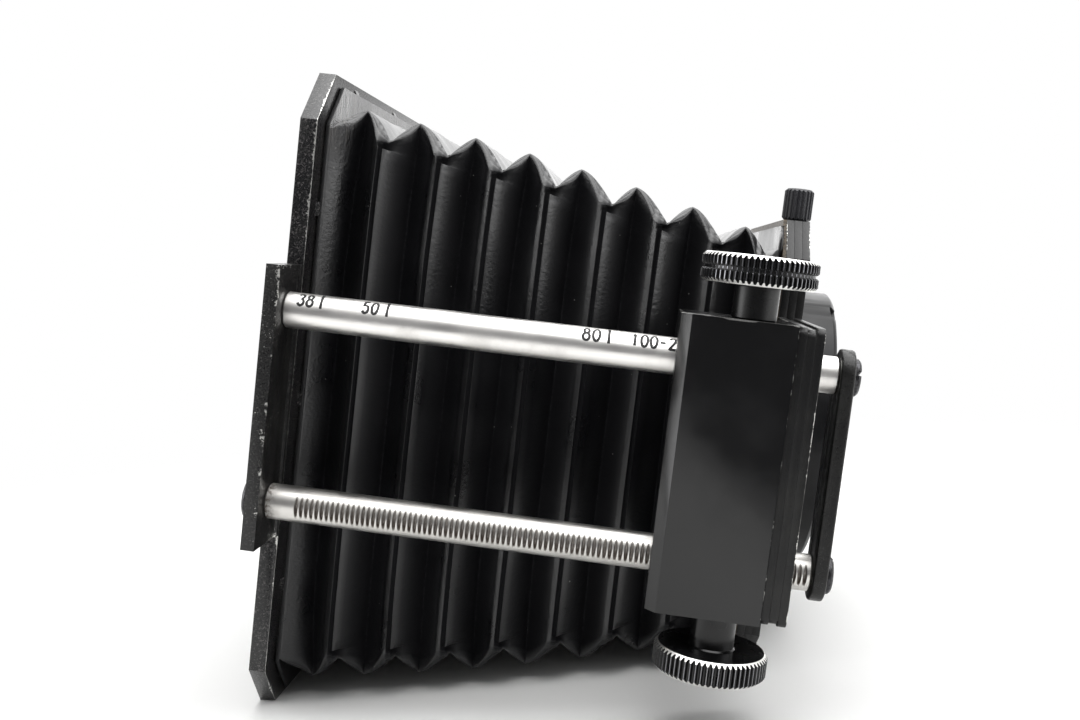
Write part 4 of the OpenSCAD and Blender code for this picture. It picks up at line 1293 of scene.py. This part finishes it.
@dataclass
class Scale:
    """The scale engraved round the upper rail: plain figures and a line beside each.

    low and high are the angles in degrees between which the figures stand, tick is the line's. A mark is
    its text, where the text starts and ends along the rail, and where the line is.
    """

    rails: Rails
    low: float = 20.0
    high: float = 70.0
    tick: tuple[float, float] = (18.0, 84.0)
    tick_lean: float = 0.12
    width: float = 0.5
    lift: float = 0.012
    finest: float = 0.15
    figure_width: float = 0.78
    figure_gap: float = 0.25
    marks: tuple[tuple[str, float, float, float], ...] = (
        ("38", -101.9, -99.1, -97.6), ("50", -90.2, -87.45, -85.7), ("80", -51.15, -48.1, -46.5),
        ("100-250", -42.65, -31.6, -29.9))

    # Each figure is a few open strokes in a box one unit high.
    figures: ClassVar[dict[str, tuple]] = {
        "0": (arc((0.31, 0.5), (0.27, 0.46), 25),),
        "1": ([(0.16, 0.74), (0.3, 0.96), (0.3, 0.04)],),
        "2": ([(0.08, 0.74), (0.13, 0.88), (0.3, 0.96), (0.48, 0.88), (0.52, 0.7), (0.42, 0.48), (0.05, 0.05),
               (0.56, 0.05)],),
        "3": ([(0.07, 0.8), (0.14, 0.91), (0.3, 0.96), (0.47, 0.89), (0.51, 0.74), (0.44, 0.59),
               (0.26, 0.53)],
              [(0.26, 0.53), (0.46, 0.47), (0.55, 0.3), (0.49, 0.12), (0.3, 0.03), (0.12, 0.09),
               (0.04, 0.22)]),
        "5": ([(0.52, 0.95), (0.15, 0.95), (0.1, 0.55), (0.28, 0.61), (0.46, 0.54), (0.54, 0.34),
               (0.48, 0.13), (0.29, 0.03), (0.12, 0.08), (0.04, 0.2)],),
        "8": (arc((0.3, 0.74), (0.2, 0.215), 17), arc((0.3, 0.28), (0.26, 0.25), 21)),
        "-": ([(0.05, 0.45), (0.5, 0.45)],)}

    def strokes(self) -> list[np.ndarray]:
        """Lays the strokes of all marks out flat.

        Returns:
            Each stroke as points along the rail and round it, in millimetres.
        """
        radius = self.rails.radius
        floor = math.radians(self.low) * radius
        tall = math.radians(self.high - self.low) * radius
        ends = np.radians(self.tick) * radius
        strokes = []
        for text, start, stop, tick in self.marks:
            step = (stop - start) / (len(text) - self.figure_gap)
            for k, sign in enumerate(text):
                for stroke in self.figures[sign]:
                    size = np.array([step / self.figure_width, tall])
                    strokes.append(np.array(stroke) * size + [start + k * step, floor])
            strokes.append(np.array([[tick, ends[0]], [tick - self.tick_lean, ends[1]]]))
        return strokes

    def ribbon(self, line: np.ndarray) -> tuple[np.ndarray, np.ndarray]:
        """Gives a flat open line its width.

        Args:
            line: Points along the rail and round it, in millimetres.

        Returns:
            The left and right edge, as points of the same kind.
        """
        way = np.gradient(line, axis=0)
        way /= np.linalg.norm(way, axis=1, keepdims=True)
        side = np.stack([-way[:, 1], way[:, 0]], axis=1) * self.width / 2
        return line + side, line - side

    def build(self) -> bpy.types.Object:
        """Draws every figure and line as ribbons wrapped on the rail.

        Returns:
            The engraving's black fill.
        """
        points, faces, count = [], [], 0
        radius = self.rails.radius
        for path in self.strokes():
            reach = np.concatenate([[0], np.cumsum(np.linalg.norm(np.diff(path, axis=0), axis=1))])
            fine = np.linspace(0, reach[-1], max(3, int(reach[-1] / self.finest)))
            path = np.stack([np.interp(fine, reach, path[:, 0]), np.interp(fine, reach, path[:, 1])], axis=1)
            both = np.stack(self.ribbon(path), axis=1)
            height = np.full(both.shape[:2], radius + self.lift)
            wrapped = self.rails.wrapped(both[..., 0], both[..., 1] / radius, height, self.rails.z)
            points.append(wrapped.reshape(-1, 3))
            faces.append(grid_faces(len(path), 2) + count)
            count += 2 * len(path)
        return make_piece("rail_scale", np.concatenate(points), np.concatenate(faces), [ENGRAVING])


# Knobs

@dataclass
class Knurled:
    """A fluted disc on an axis along Z, in millimetres.

    Between narrow crests the flutes are round hollows: with depth d and a phase p from crest to crest, the
    radius is r - d * f * f * (3 - 2 * f), where f = clip((0.5 - |p - 0.5| - crest) / flank, 0, 1) and the
    crest ends at the second phase. The bevelled rims cut them at the height where the bevel has the same
    radius, so each flute ends in a point.
    """

    radius: float
    flutes: int
    depth: float
    bevel: float
    flank: float = 0.28
    groove_depth: float = 0.02
    groove_floor: float = 0.7
    phases: tuple[float, ...] = (0.0, 0.08, 0.14, 0.2, 0.27, 0.36, 0.5, 0.64, 0.73, 0.8, 0.86, 0.92)

    def turn(self) -> np.ndarray:
        """Angle of every column."""
        phase = (np.arange(self.flutes)[:, None] + np.array(self.phases)[None]).ravel()
        return phase / self.flutes * 2 * math.pi

    def rim(self) -> np.ndarray:
        """Works out the radius of the fluted rim.

        Returns:
            The radius in every column.
        """
        phase = np.tile(np.array(self.phases), self.flutes)
        fall = np.clip((0.5 - np.abs(phase - 0.5) - self.phases[1]) / self.flank, 0, 1)
        return self.radius - self.depth * fall * fall * (3 - 2 * fall)

    def edge(self, z: float, up: float) -> tuple[list[np.ndarray], list[np.ndarray]]:
        """Works out the bevelled rim at height z, seen from its flat face inwards.

        Args:
            z: Height of the flat face.
            up: 1 if the disc lies above z, -1 if below.

        Returns:
            Radii and heights of the two rows.
        """
        rim = self.rim()
        inner = self.radius - self.bevel
        return [0 * rim + inner, rim], [0 * rim + z, z + up * (rim - inner)]

    def groove(self, z: float, half: float, lip: float) -> tuple[list[np.ndarray], list[np.ndarray]]:
        """Works out a groove round the rim with bevelled lips.

        Args:
            z: Height of its middle.
            half: Half its width.
            lip: Width of its bevels.

        Returns:
            Radii and heights of its six rows, from below.
        """
        rim = self.rim()
        floor = 0 * rim + self.radius - self.depth - self.groove_depth
        mouth = np.maximum(floor, rim - lip)
        rise = [half + rim - mouth, half + 0 * rim, half * self.groove_floor + 0 * rim]
        return [rim, mouth, floor, floor, mouth, rim], [z - h for h in rise] + [z + h for h in rise[::-1]]

    def revolve(self, name: str, radii: list, heights: list, centre: tuple[float, float],
                finishes: Sequence[Finish], bright: Sequence[int] = (),
                flip: bool = False) -> bpy.types.Object:
        """Turns rows of radii and heights round the axis.

        Args:
            name: The piece's name.
            radii: Radius of each row, one number or one per column.
            heights: Height of each row, likewise.
            centre: Place of the axis across, x and y.
            finishes: The finishes.
            bright: Rows whose band to the next row has the second finish; the crests between them have the
                third one.
            flip: Whether the rows run downwards.

        Returns:
            The piece.
        """
        turn = self.turn()
        radius = np.stack([r + 0 * turn for r in radii])
        height = np.stack([h + 0 * turn for h in heights])
        across = [centre[0] + radius * np.cos(turn), centre[1] + radius * np.sin(turn)]
        points = np.stack([*across, height], axis=-1)
        faces = grid_faces(len(radii), len(turn), wrap_columns=True)
        row = np.repeat(np.arange(len(radii) - 1), len(turn))
        face_finish = np.isin(row, list(bright)).astype(int)
        if bright:
            phase = np.tile(np.array(self.phases), self.flutes * (len(radii) - 1))
            crest = (phase == self.phases[0]) | (phase == self.phases[-1])
            face_finish[(row > bright[0]) & (row < bright[-1]) & crest] = 2
        return make_piece(name, points, faces if flip else faces[:, ::-1], finishes, face_finish, smooth=32.0,
                          weld=True)


@dataclass
class Knobs:
    """The two drive knobs on the pinion shaft, mirrored about the block, in millimetres."""

    x: float = -22.6
    y: float = -72.25
    block_half: float = 25.65
    bore_roof: float = 1.0
    shaft_r: float = 1.27
    hub_r: float = 3.85
    hub_len: float = 5.7
    hub_bevel: float = 0.2
    hub_fillet: float = 0.25
    radius: float = 9.85
    flutes: int = 64
    flute_depth: float = 0.46
    bevel: float = 0.66
    heights: tuple[float, float] = (5.0, 4.4)
    groove: tuple[float, float] = (0.3, 0.25)
    dish_r: float = 7.65
    dish: float = 0.4
    dish_bevel: float = 0.1
    dish_fillet: float = 0.05

    def knob(self, name: str, up: int, tall: float, groove: bool) -> bpy.types.Object:
        """Builds a knob: from its bore out over the hub, round the rim and in over the dished face.

        Args:
            name: The piece's name.
            up: 1 for the upper knob, -1 for the lower.
            tall: Height of the disc.
            groove: Whether a groove parts the flutes into two rows.

        Returns:
            The knob.
        """
        disc = Knurled(self.radius, self.flutes, self.flute_depth, self.bevel)
        base = self.hub_len
        top = base + tall
        radii: list = [0.0, self.shaft_r, self.shaft_r, self.hub_r - self.hub_bevel, self.hub_r, self.hub_r,
                       self.hub_r + self.hub_fillet]
        heights: list = [top - self.bore_roof, top - self.bore_roof, 0.0, 0.0, self.hub_bevel,
                         base - self.hub_fillet, base]
        r, h = disc.edge(base, 1)
        radii += r
        heights += h
        bright = [len(radii) - 2]
        if groove:
            r, h = disc.groove(base + tall / 2, *self.groove)
            radii += r
            heights += h
        r, h = disc.edge(top, -1)
        radii += r[::-1]
        heights += h[::-1]
        bright.append(len(radii) - 2)
        floor = top - self.dish
        radii += [self.dish_r + self.dish_bevel, self.dish_r, self.dish_r - self.dish_fillet, self.dish_r / 2,
                  0.0]
        heights += [top, top - self.dish_bevel, floor, floor, floor]
        placed = [up * (self.block_half + h) for h in heights]
        return disc.revolve(name, radii, placed, (self.x, self.y), [KNOB, BRIGHT_RIM, CREST], bright,
                            flip=up < 0)

    def build(self) -> None:
        """Builds both knobs and dresses the shaft."""
        upper = self.knob("upper_knob_turned", 1, self.heights[0], True)
        settle(upper, Body.PINION, "upper_knob")
        lower = self.knob("lower_knob_turned", -1, self.heights[1], False)
        settle(lower, Body.PINION, "lower_knob")
        dress("pinion_shaft", SHAFT)
        dress("knob_set_screws", SCREW)


@dataclass
class ThumbScrew:
    """The knurled screw in the top edge of the rear plate, in millimetres."""

    x: float = -13.15
    y: float = -32.5
    z: float = 44.6
    tall: float = 6.4
    stem_r: float = 1.25
    stem_bevel: float = 0.3
    tip_z: float = 21.8
    radius: float = 2.9
    flutes: int = 20
    flute_depth: float = 0.26
    bevel: float = 0.5
    neck_r: float = 2.3
    dome: tuple[tuple[float, float], ...] = ((1.9, 0.04), (1.2, 0.01), (0.0, 0.0))
    dome_rise: float = 0.12

    def build(self) -> None:
        """Builds the stem and the head, whose top is slightly domed."""
        head = Knurled(self.radius, self.flutes, self.flute_depth, self.bevel)
        top = self.z + self.tall
        radii: list = [0.0, self.stem_r - self.stem_bevel, self.stem_r, self.stem_r, self.neck_r]
        heights: list = [self.tip_z, self.tip_z, self.tip_z + self.stem_bevel, self.z, self.z]
        r, h = head.edge(self.z, 1)
        radii += r
        heights += h
        r, h = head.edge(top - self.dome_rise, -1)
        radii += r[::-1] + [place for place, _ in self.dome]
        heights += h[::-1] + [top - below for _, below in self.dome]
        piece = head.revolve("thumb_screw_knurled", radii, heights, (self.x, self.y), [THUMB])
        settle(piece, Body.THUMB, "thumb_screw")


# Frames and block

@dataclass
class FlangeTabs:
    """The claws that hold the bellows flange on the front frame, three along each side, in millimetres."""

    step: float = 36.0
    reach: float = 1.0
    height: float = 0.55
    half: float = 1.3

    def build(self) -> None:
        """Builds the claws.

        A claw is a wedge, thick beside the flange and thin at its outer edge. Its first and last section
        shrink to the corner beside the flange, which closes the two flat ends.
        """
        low, high = (np.array(corner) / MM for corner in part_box("flange_tabs"))
        along = np.array([-1.0, -1.0, 1.0, 1.0])
        size = np.array([0.0, 1.0, 1.0, 0.0])
        points = []
        for side in (Side.TOP, Side.FAR, Side.BOTTOM, Side.NEAR):
            edge = (high[1] if side in (Side.NEAR, Side.FAR) else high[2]) - self.reach
            for middle in (-self.step, 0.0, self.step):
                x = low[0] + np.stack([0 * size, self.height * size, 0 * size], -1)
                out = edge + np.stack([0 * size, 0 * size, self.reach * size], -1)
                points.append(on_side(side, x, out, middle + self.half * along[:, None] + 0 * x))
        claw = grid_faces(len(along), 3, wrap_columns=True)
        faces = np.concatenate([claw + k * 3 * len(along) for k in range(len(points))])
        piece = make_piece("flange_claws", np.stack(points), faces, [FRAME_PAINT], weld=True)
        settle(piece, Body.FRONT, "flange_tabs")


@dataclass
class Standard:
    """CAD nodes that ride on one body: some as rounded copies, some as they are.

    rounded lists each node with the width of its rounding in millimetres, its finish and its slot's name.
    """

    body: Body
    rounded: tuple[tuple[str, float, Finish, str], ...]
    plain: tuple[tuple[str, Finish], ...]

    def build(self) -> None:
        """Rounds the first group and dresses the second one."""
        for node, width, finish, slot in self.rounded:
            settle(rounded_copy(node, width, finish), self.body, node)
        for node, finish in self.plain:
            dress(node, finish)


@dataclass
class FrontStandard(Standard):
    """The front frame with the bracket that carries the rails, and the strap at their rear ends."""

    body: Body = Body.FRONT
    rounded: tuple[tuple[str, float, Finish, str], ...] = (
        ("front_frame", 0.25, FRAME_PAINT, "front_frame"), ("rail_bracket", 0.3, BRACKET_PAINT, "bracket"),
        ("end_strap", 0.35, STRAP_PAINT, "strap"), ("front_screw_upper", 0.15, SCREW, "screws"),
        ("front_screw_lower", 0.3, SCREW, "screws"), ("strap_screws", 0.25, SCREW, "screws"))
    plain: tuple[tuple[str, Finish], ...] = (("bracket_screws", SCREW),)


@dataclass
class RearStandard(Standard):
    """The three plates of the rear standard with their brass frame, and the carriage block."""

    body: Body = Body.REAR
    rounded: tuple[tuple[str, float, Finish, str], ...] = (
        ("plate_front", 0.15, PLATE_PAINT, "rear_plate"), ("plate_core", 0.15, PLATE_PAINT, "rear_plate"),
        ("plate_back", 0.2, PLATE_PAINT, "rear_plate"), ("carriage_block", 0.2, BLOCK, "carriage_block"),
        ("bellows_brass_frame", 0.08, BRASS, "brass"))
    plain: tuple[tuple[str, Finish], ...] = (
        ("plate_screws", SCREW), ("carriage_screws", SCREW), ("rail_bushes", BUSH),
        ("pinion_bushes", BUSHING), ("brake_pad", PAD), ("brake_springs", SHAFT), ("brake_plug", SCREW))


@dataclass
class LensRing(Standard):
    """The ring that turns in the rear standard and takes the lens."""

    body: Body = Body.RING
    rounded: tuple[tuple[str, float, Finish, str], ...] = (("lens_ring", 0.15, RING, "lens_ring"),)
    plain: tuple[tuple[str, Finish], ...] = ()


# Studio

@dataclass
class Lamp:
    """A soft box: a rectangular lamp that faces the hood. Places and sizes are in millimetres."""

    name: str
    place: tuple[float, float, float]
    size: tuple[float, float]
    radiance: float
    aim: tuple[float, float, float] = (-60.0, 0.0, 0.0)

    def build(self) -> None:
        """Makes the lamp. Its power is radiance times pi times its area."""
        light = bpy.data.lights.new(self.name, "AREA")
        light.shape = "RECTANGLE"
        light.size = self.size[0] * MM
        light.size_y = self.size[1] * MM
        light.energy = self.radiance * math.pi * light.size * light.size_y
        lamp = bpy.data.objects.new(self.name, light)
        bpy.context.scene.collection.objects.link(lamp)
        lamp.location = [c * MM for c in self.place]
        way = Vector(self.aim) - Vector(self.place)
        lamp.rotation_euler = way.to_track_quat("-Z", "Y").to_euler()
        lamp.visible_camera = False


@dataclass
class Studio:
    """The white table, the lamps and the camera.

    The hood leans on the lower edge of its front frame and the lower edge of its rear plate, so the table
    lies askew in the row frame. Angles are in radians, places and sizes in millimetres, and the limits of
    the table's two fades in metres, because its material reads them so.
    """

    camera_place: tuple[float, float, float] = (-41.476, -276.249, 33.701)
    yaw: float = 0.080
    pitch: float = 0.094
    roll: float = 0.114
    focal_px: float = 1192.4
    image_px: float = 1080.0
    sensor: float = 36.0
    nearest: float = 10.0
    front_foot: tuple[float, float] = (-107.1, -61.5)
    rear_foot: tuple[float, float] = (-10.9, -44.5)
    table_x: float = -60.0
    table_r: float = 620.0
    table_front: float = -290.0
    table_points: int = 64
    fade_out: tuple[float, float] = (0.13, 0.34)
    fade_near: tuple[float, float] = (-0.17, -0.27)
    paper: str = "#f0f0ef"
    white: tuple[float, float, float, float] = (1.0, 1.0, 1.0, 1.0)
    dark: tuple[float, float, float, float] = (0.2, 0.2, 0.205, 1.0)
    ambient: tuple[float, float, float, float] = (0.2, 0.2, 0.2, 1.0)
    lamps: tuple[Lamp, ...] = (
        Lamp("overhead_box", (-30.0, -30.0, 560.0), (780.0, 740.0), 3.7),
        Lamp("back_box", (-60.0, 720.0, 240.0), (1100.0, 620.0), 1.1),
        Lamp("left_box", (-640.0, -90.0, 130.0), (460.0, 480.0), 3.0),
        Lamp("right_box", (600.0, -110.0, 110.0), (520.0, 520.0), 2.0))

    def camera(self) -> None:
        """Places the camera where the photograph's was: turned by yaw, pitch and roll about the lens axis."""
        ahead = math.cos(self.pitch)
        away = np.array([-math.sin(self.yaw) * ahead, math.cos(self.yaw) * ahead, -math.sin(self.pitch)])
        level = np.cross(away, [0, 0, 1.0])
        level /= np.linalg.norm(level)
        rise = np.cross(level, away)
        right = math.cos(self.roll) * level + math.sin(self.roll) * rise
        up = -math.sin(self.roll) * level + math.cos(self.roll) * rise
        data = bpy.data.cameras.new("camera")
        data.sensor_fit = "HORIZONTAL"
        data.sensor_width = self.sensor
        data.lens = self.sensor * self.focal_px / self.image_px
        data.clip_start = self.nearest * MM
        camera = bpy.data.objects.new("camera", data)
        bpy.context.scene.collection.objects.link(camera)
        turn = np.stack([right, up, -away], axis=1)
        place = Matrix.Translation(Vector(self.camera_place) * MM)
        camera.matrix_world = place @ Matrix(turn.tolist()).to_4x4()
        bpy.context.scene.camera = camera

    def table(self) -> None:
        """Makes the table, a disc cut short towards the camera, which fades into the white background."""
        slope = math.atan2(self.rear_foot[1] - self.front_foot[1], self.rear_foot[0] - self.front_foot[0])
        height = self.front_foot[1] + (self.table_x - self.front_foot[0]) * math.tan(slope)
        centre = np.array([self.table_x, 0.0, height])
        turn = np.linspace(0, 2 * math.pi, self.table_points, endpoint=False)
        circle = [np.cos(turn) * math.cos(slope), np.sin(turn), np.cos(turn) * math.sin(slope)]
        ring = self.table_r * np.stack(circle, -1)
        ring[:, 1] = np.maximum(ring[:, 1], self.table_front)
        mesh = bpy.data.meshes.new("table")
        mesh.from_pydata(((ring + centre) * MM).tolist(), [], [tuple(range(self.table_points))])
        table = bpy.data.objects.new("table", mesh)
        bpy.context.scene.collection.objects.link(table)
        mesh.materials.append(self.table_material(tuple(centre * MM)))

    def table_material(self, centre: tuple[float, float, float]) -> bpy.types.Material:
        """Builds the table's white paper, which the camera sees only near the hood and from above.

        Args:
            centre: The table's centre in metres.

        Returns:
            The material.
        """
        material = bpy.data.materials.new("white_table")
        material.use_nodes = True
        tree = material.node_tree
        tree.nodes.clear()
        place = add(tree, "TexCoord", out="Object")
        off = add(tree, "VectorMath", {0: place, 1: centre}, operation="SUBTRACT")
        away = add(tree, "VectorMath", {0: off}, out="Value", operation="LENGTH")
        far = add(tree, "MapRange", {0: away, 1: self.fade_out[0], 2: self.fade_out[1]}, **EASED)
        y = add(tree, "SeparateXYZ", {0: place}, out="Y")
        near = add(tree, "MapRange", {0: y, 1: self.fade_near[0], 2: self.fade_near[1]}, **EASED)
        fade = add(tree, "Math", {0: far, 1: near}, operation="MAXIMUM")
        under = add(tree, "NewGeometry", out="Backfacing")
        fade = add(tree, "Math", {0: fade, 1: under}, operation="MAXIMUM")
        camera = add(tree, "LightPath", out="Is Camera Ray")
        seen = add(tree, "Math", {0: camera, 1: fade}, operation="MULTIPLY")
        paper = add(tree, "BsdfDiffuse", {"Color": srgb(self.paper)})
        clear = add(tree, "BsdfTransparent")
        add(tree, "OutputMaterial", {"Surface": add(tree, "MixShader", {0: seen, 1: paper, 2: clear})})
        return material

    def world(self) -> None:
        """Makes the background: white to the camera.

        Mirrors see a white room that is dark behind the camera, from a little below the horizon to well
        above it. Everything else gets a dim even light from it.
        """
        world = bpy.data.worlds.new("studio")
        bpy.context.scene.world = world
        world.use_nodes = True
        tree = world.node_tree
        tree.nodes.clear()
        way = add(tree, "TexCoord", out="Generated")
        _, y, z = add(tree, "SeparateXYZ", {0: way}).node.outputs
        behind = add(tree, "MapRange", {0: y, 1: -0.5, 2: -0.9}, **EASED)
        above = add(tree, "MapRange", {0: z, 1: -0.42, 2: -0.3}, **EASED)
        below = add(tree, "MapRange", {0: z, 1: 0.8, 2: 0.45}, **EASED)
        band = add(tree, "Math", {0: above, 1: below}, operation="MULTIPLY")
        dark = add(tree, "Math", {0: behind, 1: band}, operation="MULTIPLY")
        room = add(tree, "Mix", {0: dark, 6: self.white, 7: self.dark}, **COLOURS)
        rays = add(tree, "LightPath").node.outputs
        mirrored = add(tree, "Math", {0: rays["Is Glossy Ray"], 1: rays["Is Transmission Ray"]},
                       operation="MAXIMUM")
        colour = add(tree, "Mix", {0: mirrored, 6: self.ambient, 7: room}, **COLOURS)
        colour = add(tree, "Mix", {0: rays["Is Camera Ray"], 6: colour, 7: self.white}, **COLOURS)
        add(tree, "OutputWorld", {"Surface": add(tree, "Background", {"Color": colour, "Strength": 1.0})})

    def build(self) -> None:
        """Sets up the camera, the table, the lamps and the background."""
        self.camera()
        self.table()
        self.world()
        for lamp in self.lamps:
            lamp.build()
        bpy.context.scene.view_settings.view_transform = "Standard"


def main() -> None:
    """Builds the hood, sub-assembly by sub-assembly, and the studio round it."""
    logging.basicConfig(level=logging.INFO, format="%(name)s: %(message)s")
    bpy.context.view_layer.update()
    Studio().build()
    for part in (Bellows(), Rails(), Knobs(), ThumbScrew(), FrontStandard(), FlangeTabs(), RearStandard(),
                 LensRing()):
        log.info("building %s", type(part).__name__)
        part.build()


if __name__ == "__main__":
    main()
